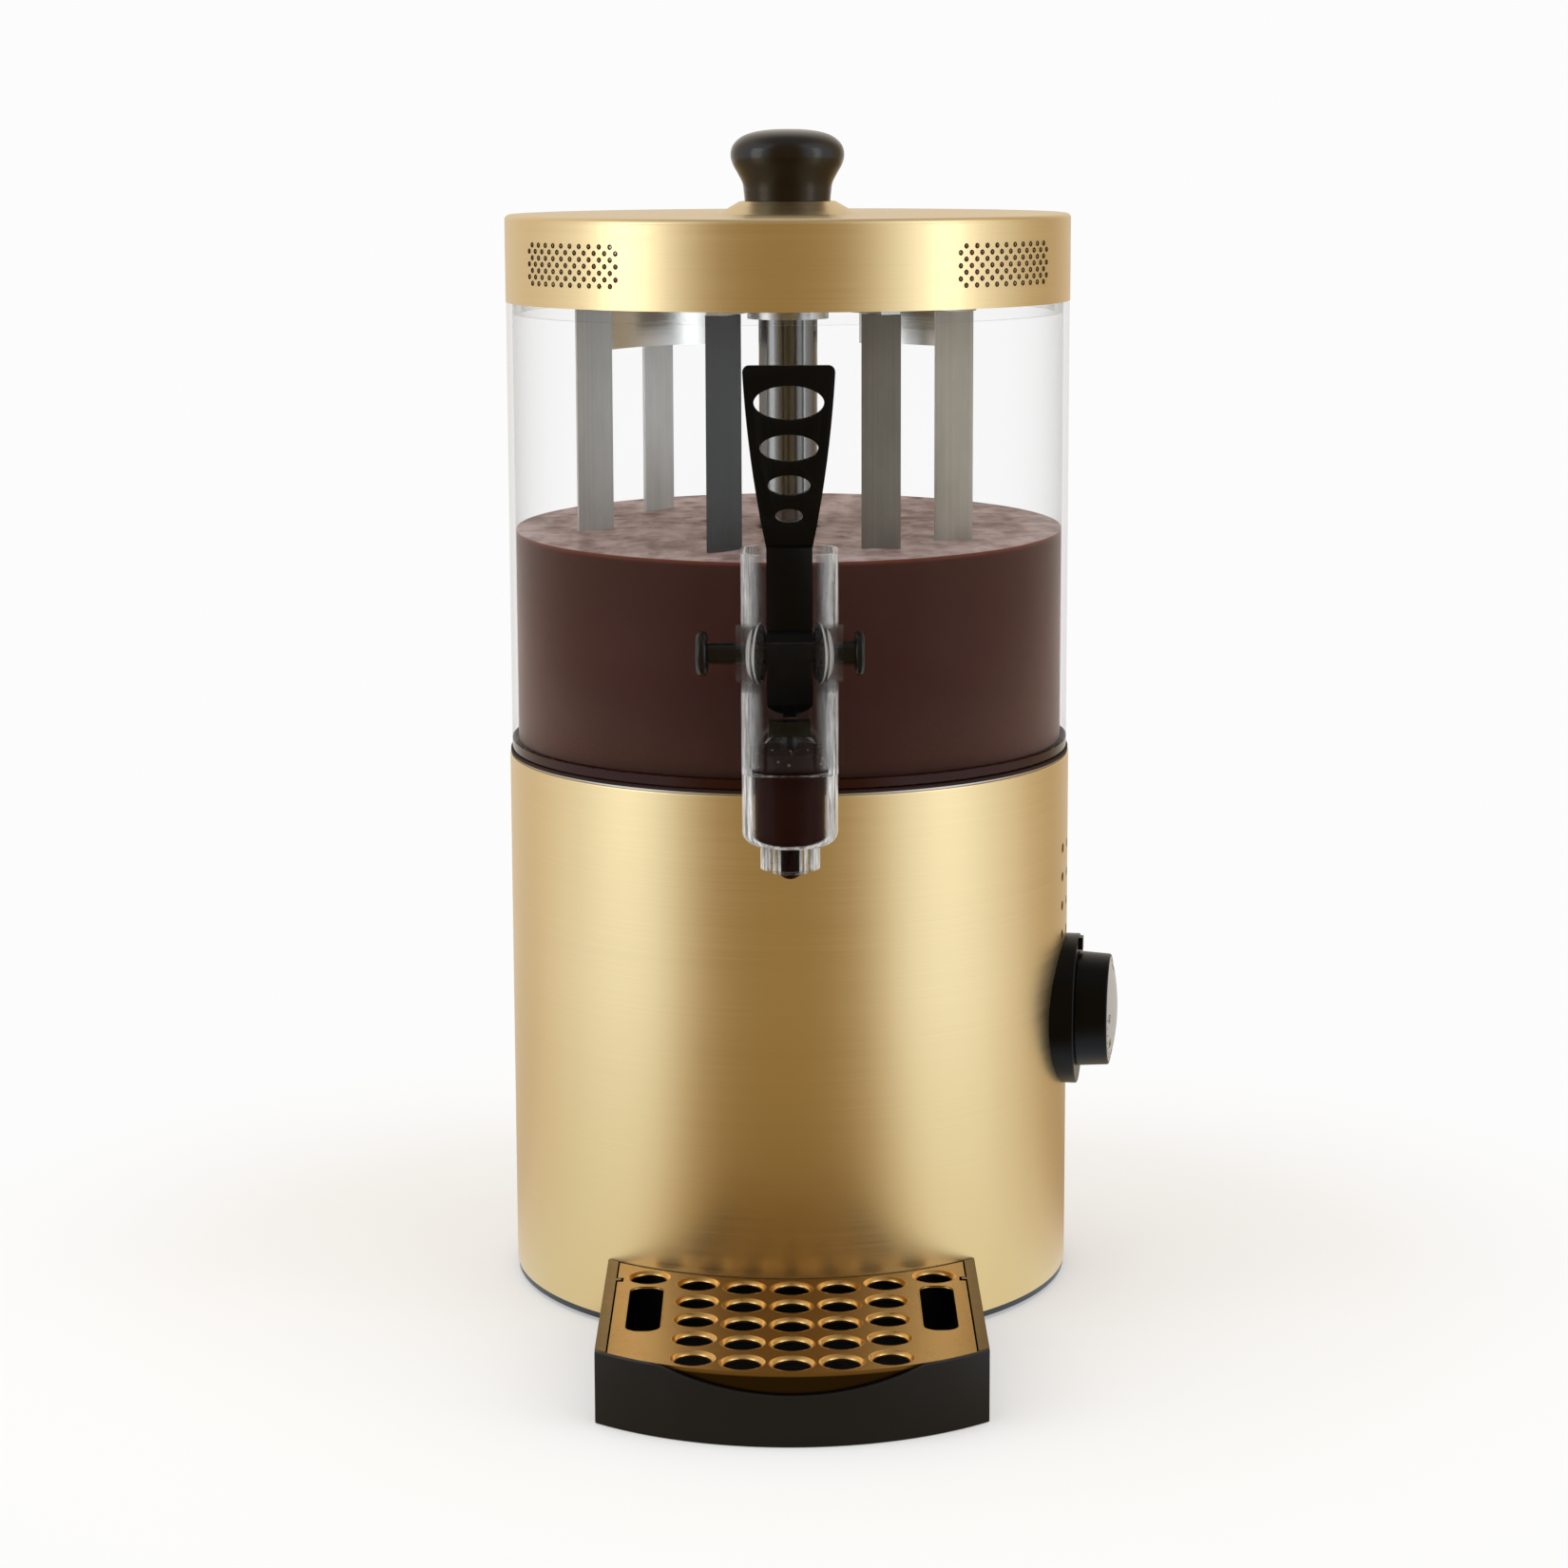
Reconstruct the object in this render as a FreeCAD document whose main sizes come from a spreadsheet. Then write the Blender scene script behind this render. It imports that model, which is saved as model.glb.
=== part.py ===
"""Hot chocolate dispenser: a clear bowl with a stirrer on a heated drum, with a lever tap over a drip tray.

Millimetres, +Z up, front towards -Y. The origin is on the drum's axis, on the counter.
An azimuth is counted from the front, positive towards the right side.
"""
import FreeCAD
import Part
import Sketcher
import math
import os
import re

SIZES = {
    # feet and base pan
    "foot_radius": 11, "foot_height": 2, "foot_stem_radius": 4, "foot_stem_length": 5, "foot_inset": 21.5,
    "pan_thickness": 3, "pan_inset": 0.5, "pan_lip_height": 14, "pan_lip_thickness": 1.5,
    "pan_vent_radius": 4, "pan_vent_circle": 62, "pan_vent_count": 12,
    # gold drum
    "shell_radius": 139.5, "shell_wall": 1, "shell_height": 260, "shell_lip_width": 7, "shell_edge": 0.8,
    "side_vent_radius": 2.4, "side_vent_azimuth": 75, "side_vent_step": 6, "side_vent_columns": 6,
    "side_vent_height": 176.4, "side_vent_pitch": 14.5, "side_vent_rows": 4, "screw_azimuth_near": 112,
    "screw_azimuth_far": 158, "screw_height": 9, "screw_radius": 1.5, "screw_length": 7,
    "screw_head_radius": 3.2, "screw_head_height": 1.4,
    # water bath
    "tank_gap": 2, "tank_wall": 0.8, "tank_depth": 70, "tank_flange_reach": 8, "tube_radius": 9.8,
    "tube_top_gap": 3, "seal_thickness": 1.5, "seal_width": 6, "seal_inset": 0.4, "element_inset": 35.5,
    "element_radius": 4, "element_height": 11, "element_half_gap": 20, "element_leg": 18, "gland_radius": 9,
    "gland_height": 8,
    # drive
    "shaft_radius": 4, "shaft_clearance": 0.05, "bush_length": 22, "key_flats": 10, "key_length": 8,
    "gearbox_radius": 32, "gearbox_height": 24, "motor_radius": 27, "motor_height": 36, "shaft_seat": 14,
    "plate_gap": 11, "plate_depth": 80, "plate_thickness": 2, "plate_bore": 12, "post_length": 21,
    "post_radius": 5, "post_inset": 7, "bolt_radius": 2, "bolt_length": 14, "bolt_gap": 1,
    "bolt_head_radius": 4, "bolt_head_height": 3, "coupling_radius": 8, "coupling_length": 16,
    # thermostat and dial
    "dial_azimuth": 81, "dial_height": 135.7, "bezel_radius": 37.4, "bezel_proud": 6.7,
    "bezel_hub_radius": 14, "bezel_hub_bore": 4, "bezel_edge": 0.8, "tab_width": 6, "tab_height": 6.2,
    "tab_proud": 2, "hub_nut_radius": 19, "hub_nut_length": 5, "thermostat_inset": 17.5,
    "thermostat_depth": 30, "thermostat_width": 36, "spindle_radius": 3, "spindle_seat": 10, "dial_gap": 0.4,
    "dial_radius": 28.6, "dial_taper": 1, "dial_length": 15.4, "dial_edge": 1, "cap_rise": 3.4,
    "cap_inset": 1.4, "spindle_grip": 8, "probe_gap": 26, "probe_radius": 3.5, "probe_length": 52,
    "capillary_radius": 1, "capillary_bend": 15, "probe_gland_radius": 7, "probe_gland_height": 6,
    # cord inlet and terminals
    "cord_height": 30, "cord_bore": 4.2, "cord_gland_radius": 7.5, "cord_gland_flange": 10,
    "cord_gland_proud": 6, "cord_gland_inner": 12, "cord_nut_radius": 11, "cord_nut_length": 4,
    "terminal_width": 40, "terminal_depth": 20, "terminal_height": 16, "terminal_inset": 51.5,
    # bowl
    "bowl_inset": 1.2, "bowl_wall": 3, "bowl_floor": 4, "bowl_height": 220.7, "bowl_edge": 1,
    "column_bore": 8.6, "column_radius": 12.6, "column_flange": 20, "column_flange_height": 2,
    "column_height": 206.5, "column_tail": 4.3, "washer_height": 1, "column_nut_radius": 17,
    "spigot_rise": 13.7, "boss_radius": 16, "boss_reach": 13.7, "spigot_radius": 11, "spigot_bore": 7.5,
    "socket_reach": 2.2, "collar_radius": 14, "fit_gap": 0.1, "running_gap": 0.3, "overcut": 1,
    # stirrer and drink
    "drink_depth": 105.7, "sleeve_radius": 14.5, "sleeve_wall": 1.2, "sleeve_rise": 4.7, "hub_radius": 20,
    "hub_height": 12, "blade_inset": 42.3, "blade_width": 18.5, "blade_thickness": 2, "blade_rise": 5.7,
    "arm_width": 10, "arm_thickness": 2.5, "arm_drop": 6, "arc_height": 23, "arc_thickness": 1.5,
    # lid
    "lid_inset": 1, "lid_wall": 1, "lid_height": 42, "lid_edge": 2.5, "boss_foot_radius": 34,
    "boss_top_radius": 23.5, "boss_rise": 6, "lid_vent_radius": 1, "lid_vent_azimuth": 48.5,
    "lid_vent_step": 2.7, "lid_vent_columns": 11, "lid_vent_rows": 7, "lid_vent_pitch": 3,
    "lid_vent_height": 20, "lid_ring_width": 4, "lid_ring_drop": 6, "lid_ring_flange": 4,
    "knob_neck_radius": 21, "knob_waist_radius": 21.6, "knob_waist_height": 9, "knob_head_radius": 27.9,
    "knob_head_height": 22, "knob_height": 34.5, "knob_shoulder_radius": 22, "knob_shoulder_height": 32.2,
    "knob_bolt_radius": 3, "knob_bolt_length": 16, "knob_bolt_head_radius": 6, "knob_bolt_head_height": 4,
    "knob_washer_radius": 11, "knob_washer_height": 1.5,
    # tap
    "tap_stand": 46.7, "tap_width": 43.4, "tap_depth": 44, "tap_wall": 2.4, "tap_corner": 12, "tap_drop": 33,
    "tap_height": 133, "chamber_radius": 21.7, "chamber_bore": 15.8, "chamber_height": 34,
    "chamber_floor": 1.3, "chamber_round": 6, "nozzle_radius": 13.5, "nozzle_wall": 2, "nozzle_length": 11,
    "spout_radius": 8, "spout_bore": 5.5, "spout_length": 13.2, "drip_length": 3.2, "slot_width": 22.4,
    "slot_rise": 7.5, "pivot_rise": 53.5, "pivot_boss_radius": 13, "pivot_boss_reach": 24, "pin_radius": 4.75,
    "pin_head_radius": 10.2, "pin_head_length": 5.4, "pin_left": 42, "pin_right": 33.5, "pin_cap_grip": 3,
    "pin_neck_step": 1, "pin_head_round": 2.43, "cap_head_round": 1.89, "disc_radius": 14,
    "disc_thickness": 1.3, "disc_step": 3.2, "spacer_inset": 1, "collar_length": 2.4, "drink_skin": 9,
    "drink_skin_radius": 18.9,
    # lever and plunger
    "stem_width": 20.5, "stem_depth": 13, "lever_hub_radius": 13, "handle_rise": 47.1, "handle_length": 81.4,
    "handle_width": 41.5, "handle_thickness": 5, "handle_corner": 3, "handle_bulge": 1.6, "foot_round": 14,
    "foot_round_drop": 13, "rib_width": 6, "block_width": 18.7, "block_depth": 9, "block_height": 6.8,
    "block_drop": 30.5, "rod_radius": 4, "seal_radius": 8, "seal_height": 8, "seal_nose_radius": 4.8,
    # drip tray and grid
    "tray_half_width": 88, "tray_length": 134.5, "tray_arc": 139, "tray_height": 33.5, "tray_gap": 0.5,
    "tray_wall": 2.5, "tray_side": 5, "tray_floor": 3, "tray_rear_height": 31.5, "tray_foot": 0.2,
    "scoop_width": 119, "scoop_depth": 10, "ledge_width": 4, "ledge_height": 22, "rail_height": 3,
    "grid_thickness": 1.2, "grid_top": 33.2, "grid_side_gap": 0.8, "grid_front_gap": 0.3,
    "skirt_thickness": 1, "dimple_radius": 10.4, "dimple_bore": 8.3, "dimple_depth": 2.2, "dimple_wall": 0.5,
    "column_pitch": 22, "row_pitch": 26.1, "first_row_gap": 14.3, "rows": 5, "columns": 5,
    "corner_hole_side": 67.5, "corner_hole_inset": 3, "slot_side": 67.8, "slot_reach": 43, "slot_length": 64,
    "slot_breadth": 16, "slot_corner": 6.5, "nib_reach": 2.4, "nib_length": 3,
}

BLADE_ANGLES = (("left_side", -82, 25), ("left_rear", -136, 41), ("left_front", -18.5, 33),
                ("right_inner", 27, 8), ("right_outer", 55.6, 10))
BARE_ARM_AZIMUTHS = (134.5,)
ARC_AZIMUTHS = ((-159, -82), (112, 157))
HANDLE_HOLES = ((112, 31.3, 15.2), (92, 26, 12), (75.5, 19, 9), (62, 12.2, 6.1))
CAM_OUTLINE = ((-12.6, -2), (-12, -14), (-10, -21.8), (-5, -26.3), (-0.5, -28.5), (2, -29.3), (4.3, -29.95),
               (6, -26.5), (11, -15), (12.6, -2))

SAME_PLACE = 1e-4
UPRIGHT = 0.5

NODES = []
X = FreeCAD.Vector(1, 0, 0)
Y = FreeCAD.Vector(0, 1, 0)
Z = FreeCAD.Vector(0, 0, 1)
ALONG_X = FreeCAD.Rotation(Y, 90)
ALONG_Y = FreeCAD.Rotation(X, -90)

# Levels, as expressions on the sheet.
PAN_TOP = "(foot_height + pan_thickness)"
SHELL_TOP = f"({PAN_TOP} + shell_height)"
TANK_FLOOR = f"({SHELL_TOP} - tank_depth)"
BOWL_FOOT = f"({SHELL_TOP} + tank_wall + seal_thickness)"
BOWL_INSIDE = f"({BOWL_FOOT} + bowl_floor)"
LID_FOOT = f"({BOWL_FOOT} + bowl_height)"
LID_TOP = f"({LID_FOOT} + lid_height)"
KNOB_FOOT = f"({LID_TOP} + boss_rise)"
COLUMN_TOP = f"({BOWL_INSIDE} + column_height)"
HUB_FOOT = f"({COLUMN_TOP} + washer_height + fit_gap)"
ARM_FOOT = f"({HUB_FOOT} + arm_drop)"
PLATE_TOP = f"({TANK_FLOOR} - post_length)"
GEARBOX_TOP = f"({PLATE_TOP} - plate_thickness)"
TAP_TOP = "(tap_foot + tap_height)"
CHAMBER_TOP = "(tap_foot + chamber_height)"
BLOCK_TOP = "(pivot_height - block_drop)"
TRAY_ARC_CENTRE = "(tray_arc - tray_front)"

# Sizes that follow from others, such as what stands at the drum's wall or hangs from the bowl's spigot.
FOLLOWING = {
    "foot_circle": "shell_radius - foot_inset",
    "shell_lip_radius": "shell_radius - shell_lip_width",
    "tank_radius": "shell_lip_radius - tank_gap",
    "element_circle": "tank_radius - element_inset",
    "thermostat_face": "shell_radius - thermostat_inset",
    "probe_circle": "thermostat_face - thermostat_depth - probe_gap",
    "plate_width": "2 * (probe_circle - plate_gap)",
    "bezel_front": "shell_radius + bezel_proud",
    "terminal_place": "shell_radius - terminal_inset",
    "bowl_radius": "shell_radius - bowl_inset",
    "lid_radius": "shell_radius - lid_inset",
    "boss_front": "bowl_radius + boss_reach",
    "spigot_socket": "bowl_radius + socket_reach",
    "tap_reach": "bowl_radius + tap_stand",
    "blade_circle": "bowl_radius - blade_inset",
    "spigot_height": f"{BOWL_INSIDE} + spigot_rise",
    "drink_height": f"{BOWL_INSIDE} + drink_depth",
    "sleeve_foot": f"{BOWL_INSIDE} + sleeve_rise",
    "blade_foot": f"{BOWL_INSIDE} + blade_rise",
    "tap_foot": "spigot_height - tap_drop",
    "pivot_height": "spigot_height + pivot_rise",
    "slot_foot": "pivot_height + slot_rise",
    "handle_foot": "pivot_height + handle_rise",
    "handle_top": "handle_foot + handle_length",
    "tray_front": "shell_radius + tray_length",
    "first_row": "shell_radius + first_row_gap",
    "corner_hole_front": "shell_radius - corner_hole_inset",
    "slot_middle": "shell_radius + slot_reach",
    "nib_front": "shell_radius + tray_gap",
}

document = FreeCAD.newDocument("hot_chocolate_dispenser")
sheet = document.addObject("Spreadsheet::Sheet", "sizes")
NAMES = {**SIZES, **FOLLOWING}
for row, (name, value) in enumerate(NAMES.items(), start=1):
    sheet.set(f"A{row}", name)
    sheet.set(f"B{row}", f"={value}")
    sheet.setAlias(f"B{row}", name)
document.recompute()


def formula(text):
    """Point the size names in an expression at the sheet."""
    return re.sub(r"[a-z_]+", lambda word: f"sizes.{word[0]}" if word[0] in NAMES else word[0], str(text))


def size(text):
    """The value of an expression on the sheet."""
    return float(sheet.evalExpression(formula(text)))


def bind(thing, **fields):
    """Tie properties to expressions on the sheet."""
    for name, text in fields.items():
        thing.setExpression(name.replace("__", "."), formula(text))
    return thing


def put(thing, x=0, y=0, z=0, turn=None):
    """Place a thing by three expressions and a fixed turn."""
    if turn:
        thing.Placement = FreeCAD.Placement(FreeCAD.Vector(), turn)
    return bind(thing, Placement__Base__x=x, Placement__Base__y=y, Placement__Base__z=z)


def node(thing, label):
    """Name a finished piece, which then gets a file of its own."""
    thing.Label = label
    NODES.append(thing)
    return thing


def around(azimuth, radius, height=0):
    """A point at an azimuth, counted from the front towards the right."""
    angle = math.radians(azimuth)
    return FreeCAD.Vector(radius * math.sin(angle), -radius * math.cos(angle), height)


# Builders that several pieces share.
def cylinder(radius, length, x=0, y=0, z=0, turn=None):
    """A cylinder that starts at a point and runs along +Z, or along a turned axis."""
    thing = document.addObject("Part::Cylinder", "rod")
    bind(thing, Radius=radius, Height=length)
    return put(thing, x, y, z, turn)


def box(width, depth, height, x=0, y=0, z=0):
    """A box centred in X and Y on a point, standing on its height."""
    thing = document.addObject("Part::Box", "block")
    bind(thing, Length=width, Width=depth, Height=height)
    return put(thing, f"{x} - ({width}) / 2", f"{y} - ({depth}) / 2", z)


def cone(low_radius, high_radius, height, x=0, y=0, z=0):
    """A cone that stands on a point."""
    thing = document.addObject("Part::Cone", "cone")
    bind(thing, Radius1=low_radius, Radius2=high_radius, Height=height)
    return put(thing, x, y, z)


def hexagon(flats, height, z, x=0, y=0):
    """A hexagonal bar of a given width across its flats."""
    thing = document.addObject("Part::Prism", "hexagon")
    thing.Polygon = 6
    bind(thing, Circumradius=f"({flats}) / 2 / cos(30)", Height=height)
    return put(thing, x, y, z)


def fuse(*things):
    """Join things into one."""
    thing = document.addObject("Part::MultiFuse", "joined")
    thing.Shapes = list(things)
    thing.Refine = True
    return thing


def cut(thing, *tools):
    """Take tools away from a thing."""
    made = document.addObject("Part::Cut", "cut")
    made.Base = thing
    made.Tool = tools[0] if len(tools) == 1 else fuse(*tools)
    made.Refine = True
    return made


def common(*things):
    """What things share."""
    made = document.addObject("Part::MultiCommon", "shared")
    made.Shapes = list(things)
    return made


def solid(shape, label="shape"):
    """A piece whose shape is worked out in code from the sheet."""
    thing = document.addObject("Part::Feature", label)
    thing.Shape = shape
    return thing


def origin_plane(body, role):
    """One of a body's own origin planes."""
    return next(feature for feature in body.Origin.OriginFeatures if feature.Role == role)


def turned(label, corners):
    """A body turned about the vertical axis from corners given as (radius, height) expressions."""
    body = document.addObject("PartDesign::Body", label)
    drawing = body.newObject("Sketcher::SketchObject", "profile")
    drawing.AttachmentSupport = [(origin_plane(body, "XZ_Plane"), "")]
    drawing.MapMode = "FlatFace"
    spots = [FreeCAD.Vector(size(x), size(z), 0) for x, z in corners]
    for index, spot in enumerate(spots):
        drawing.addGeometry(Part.LineSegment(spot, spots[(index + 1) % len(spots)]))
    for index in range(len(spots)):
        drawing.addConstraint(Sketcher.Constraint("Coincident", index, 2, (index + 1) % len(spots), 1))
    for index, corner in enumerate(corners):
        for axis, text, value in (("X", corner[0], spots[index].x), ("Y", corner[1], spots[index].y)):
            if value == 0:
                line = -2 if axis == "X" else -1
                drawing.addConstraint(Sketcher.Constraint("PointOnObject", index, 1, line))
                continue
            held = drawing.addConstraint(Sketcher.Constraint("Distance" + axis, -1, 1, index, 1, value))
            drawing.setExpression(f"Constraints[{held}]", formula(text))
    feature = body.newObject("PartDesign::Revolution", "turning")
    feature.Profile = drawing
    feature.ReferenceAxis = (drawing, ["V_Axis"])
    feature.Angle = 360
    document.recompute()
    return body


def rounded(body, radius, *rings):
    """Round the circular edges of a turned body that lie at (radius, height) expressions."""
    base = body.Tip
    names = []
    for index, edge in enumerate(base.Shape.Edges, start=1):
        curve = edge.Curve
        if isinstance(curve, Part.Circle):
            for ring_radius, height in rings:
                gap = max(abs(curve.Radius - size(ring_radius)), abs(curve.Center.z - size(height)))
                if gap < SAME_PLACE:
                    names.append(f"Edge{index}")
    feature = body.newObject("PartDesign::Fillet", "rounding")
    feature.Base = (base, names)
    bind(feature, Radius=radius)
    document.recompute()
    return body


def upright_rounded(width, depth, height, corner, z, y=0):
    """A box with rounded upright corners."""
    blank = box(width, depth, height, y=y, z=z)
    document.recompute()
    made = document.addObject("Part::Fillet", "rounded_box")
    made.Base = blank
    made.Edges = [(index, size(corner), size(corner)) for index, edge in enumerate(blank.Shape.Edges, start=1)
                  if abs(edge.tangentAt(edge.FirstParameter).z) > UPRIGHT]
    return made


def rods(places, radius, length):
    """Many like cylinders as one tool, each from a point along a direction."""
    return solid(Part.makeCompound([Part.makeCylinder(radius, length, start, way) for start, way in places]))


def radial_rods(places, radius, start, length):
    """Cylinders that point outwards from the axis at (azimuth, height) places."""
    return rods([(around(azimuth, start, height), around(azimuth, 1)) for azimuth, height in places],
                radius, length)


def four(half_width, half_depth):
    """The four corners of a rectangle round the axis, as expressions."""
    return [(f"{sx} * ({half_width})", f"{sy} * ({half_depth})") for sx in (-1, 1) for sy in (-1, 1)]


def tube(outer, inner, length, x=0, y=0, z=0, turn=None):
    """A cylinder with a bore right through."""
    return cut(cylinder(outer, length, x, y, z, turn), cylinder(inner, length, x, y, z, turn))


# Base
def make_feet():
    """Four rubber feet whose stems plug into the pan."""
    spots = four("foot_circle * cos(45)", "foot_circle * sin(45)")
    feet = [fuse(cylinder("foot_radius", "foot_height", x, y),
                 cylinder("foot_stem_radius", "foot_stem_length", x, y, "foot_height")) for x, y in spots]
    return node(fuse(*feet), "rubber_feet")


def make_base_pan():
    """The black pan under the drum, with a lip that the drum slips over."""
    lip = "(shell_radius - shell_wall - fit_gap)"
    body = turned("pan_blank", [
        (0, "foot_height"), ("shell_radius - pan_inset", "foot_height"),
        ("shell_radius - pan_inset", PAN_TOP), (lip, PAN_TOP), (lip, f"{PAN_TOP} + pan_lip_height"),
        (f"{lip} - pan_lip_thickness", f"{PAN_TOP} + pan_lip_height"),
        (f"{lip} - pan_lip_thickness", PAN_TOP), (0, PAN_TOP)])
    stems = [cylinder("foot_stem_radius + fit_gap", "pan_thickness", x, y, "foot_height")
             for x, y in four("foot_circle * cos(45)", "foot_circle * sin(45)")]
    count = int(size("pan_vent_count"))
    vents = rods([(around(360 / count * turn, size("pan_vent_circle"), 0), Z) for turn in range(count)],
                 size("pan_vent_radius"), size(PAN_TOP))
    return node(cut(body, *stems, vents, base_screw_holes("screw_radius + fit_gap")), "base_pan")


def base_screw_places():
    """Where the four base screws stand."""
    near, far = size("screw_azimuth_near"), size("screw_azimuth_far")
    return [(azimuth, size(f"{PAN_TOP} + screw_height")) for azimuth in (-far, -near, near, far)]


def base_screw_holes(radius):
    """Holes for the base screws through the drum and the pan's lip."""
    return radial_rods(base_screw_places(), size(radius), size("shell_radius - screw_length"),
                       size("screw_length + shell_wall"))


def make_base_screws():
    """Four screws that hold the drum to the pan."""
    proud = size("shell_radius") + size("screw_radius") ** 2 / size("shell_radius")
    shapes = []
    for azimuth, height in base_screw_places():
        way = around(azimuth, 1)
        stem = Part.makeCylinder(size("screw_radius"), size("screw_length"),
                                 around(azimuth, proud - size("screw_length"), height), way)
        head = Part.makeCylinder(size("screw_head_radius"), size("screw_head_height"),
                                 around(azimuth, proud, height), way)
        shapes.append(stem.fuse(head).removeSplitter())
    return node(solid(Part.makeCompound(shapes)), "base_screws")


def make_base_shell():
    """The gold drum, with its side vents, its inward lip and the holes for dial, cord and screws."""
    inside = "(shell_radius - shell_wall)"
    body = rounded(turned("shell_blank", [
        (inside, PAN_TOP), ("shell_radius", PAN_TOP), ("shell_radius", SHELL_TOP),
        ("shell_lip_radius", SHELL_TOP), ("shell_lip_radius", f"{SHELL_TOP} - shell_wall"),
        (inside, f"{SHELL_TOP} - shell_wall")]),
        "shell_edge", ("shell_radius", SHELL_TOP))
    columns, rows = int(size("side_vent_columns")), int(size("side_vent_rows"))
    vents = [(size(f"side_vent_azimuth + {column} * side_vent_step"),
              size(f"side_vent_height + {row} * side_vent_pitch"))
             for column in range(columns) for row in range(rows)]
    through = (size("shell_radius - 4 * shell_wall"), size("8 * shell_wall"))
    dial_place = [(size("dial_azimuth"), size("dial_height"))]
    dial = radial_rods(dial_place, size("bezel_hub_radius + fit_gap"), *through)
    cord = radial_rods([(180, size("cord_height"))], size("cord_gland_radius + fit_gap"), *through)
    holes = radial_rods(vents, size("side_vent_radius"), *through)
    return node(cut(body, holes, dial, cord, base_screw_holes("screw_radius + fit_gap")), "base_shell")


def make_bowl_seal():
    """The silicone ring that the bowl stands on."""
    outer = "(shell_radius - seal_inset)"
    return node(turned("bowl_seal", [
        (f"{outer} - seal_width", f"{SHELL_TOP} + tank_wall"), (outer, f"{SHELL_TOP} + tank_wall"),
        (outer, BOWL_FOOT), (f"{outer} - seal_width", BOWL_FOOT)]), "bowl_seal")


def make_water_tank():
    """The water bath: a pan hung in the drum's lip, with a tube round the shaft."""
    inner, bore = "(tank_radius - tank_wall)", "(tube_radius - tank_wall)"
    floor = f"({TANK_FLOOR} + tank_wall)"
    tube_top = f"({SHELL_TOP} - tube_top_gap)"
    body = turned("tank_blank", [
        (bore, TANK_FLOOR), ("tank_radius", TANK_FLOOR), ("tank_radius", SHELL_TOP),
        ("tank_radius + tank_flange_reach", SHELL_TOP),
        ("tank_radius + tank_flange_reach", f"{SHELL_TOP} + tank_wall"), (inner, f"{SHELL_TOP} + tank_wall"),
        (inner, floor), ("tube_radius", floor), ("tube_radius", tube_top), (bore, tube_top)])
    legs = [cylinder("element_radius + fit_gap", "4 * tank_wall", x, y, f"{TANK_FLOOR} - tank_wall")
            for x, y in element_ends()]
    probe = rods([(around(size("dial_azimuth"), size("probe_circle"), size(f"{TANK_FLOOR} - tank_wall")), Z)],
                 size("probe_radius + fit_gap"), size("4 * tank_wall"))
    return node(cut(body, *legs, probe), "water_tank")


def element_ends():
    """The two ends of the heating loop, each side of the rear."""
    return [(f"{side} * element_circle * sin(element_half_gap)", "element_circle * cos(element_half_gap)")
            for side in (1, -1)]


def make_heating_element():
    """A tubular heating loop above the bath's floor, with two legs down through it."""
    level = f"({TANK_FLOOR} + element_height)"
    loop = document.addObject("Part::Torus", "loop")
    bind(loop, Radius1="element_circle", Radius2="element_radius", Angle3="360 - 2 * element_half_gap")
    loop.Placement = FreeCAD.Placement(FreeCAD.Vector(), FreeCAD.Rotation(Z, 90 + size("element_half_gap")))
    bind(loop, Placement__Base__z=level)
    parts = [loop]
    for x, y in element_ends():
        knee = document.addObject("Part::Sphere", "knee")
        bind(knee, Radius="element_radius")
        parts.append(put(knee, x, y, level))
        parts.append(cylinder("element_radius", "element_height + element_leg", x, y,
                              f"{level} - element_height - element_leg"))
    return node(fuse(*parts), "heating_element")


def make_element_glands():
    """The two nuts that seal the element's legs under the bath."""
    glands = [cut(hexagon("2 * gland_radius", "gland_height", f"{TANK_FLOOR} - gland_height", x, y),
                  cylinder("element_radius + fit_gap", "gland_height", x, y, f"{TANK_FLOOR} - gland_height"))
              for x, y in element_ends()]
    return node(fuse(*glands), "element_glands")


def make_motor():
    """Motor plate on four posts under the bath, with gearbox, motor and screws."""
    spots = four("plate_width / 2 - post_inset", "plate_depth / 2 - post_inset")
    posts = [cut(cylinder("post_radius", "post_length", x, y, PLATE_TOP),
                 cylinder("bolt_radius + fit_gap", "bolt_length", x, y, PLATE_TOP)) for x, y in spots]
    node(fuse(*posts), "motor_posts")
    holes = [cylinder("bolt_radius + fit_gap", "plate_thickness", x, y, GEARBOX_TOP) for x, y in spots]
    plate = box("plate_width", "plate_depth", "plate_thickness", z=GEARBOX_TOP)
    node(cut(plate, cylinder("plate_bore", "plate_thickness", z=GEARBOX_TOP), *holes), "motor_plate")
    bolts = [fuse(cylinder("bolt_head_radius", "bolt_head_height", x, y, f"{GEARBOX_TOP} - bolt_head_height"),
                  cylinder("bolt_radius", "bolt_length - bolt_gap", x, y, GEARBOX_TOP)) for x, y in spots]
    node(fuse(*bolts), "motor_screws")
    case = cylinder("gearbox_radius", "gearbox_height", z=f"{GEARBOX_TOP} - gearbox_height")
    seat = cylinder("shaft_radius + shaft_clearance", "shaft_seat", z=f"{GEARBOX_TOP} - shaft_seat")
    node(cut(case, seat), "gearbox")
    motor_foot = f"{GEARBOX_TOP} - gearbox_height - motor_height"
    node(cylinder("motor_radius", "motor_height", z=motor_foot), "motor")
    bush_top = f"({SHELL_TOP} - tube_top_gap)"
    node(tube("tube_radius - tank_wall - shaft_clearance", "shaft_radius + shaft_clearance", "bush_length",
              z=f"{bush_top} - bush_length"), "shaft_bush")


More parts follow.
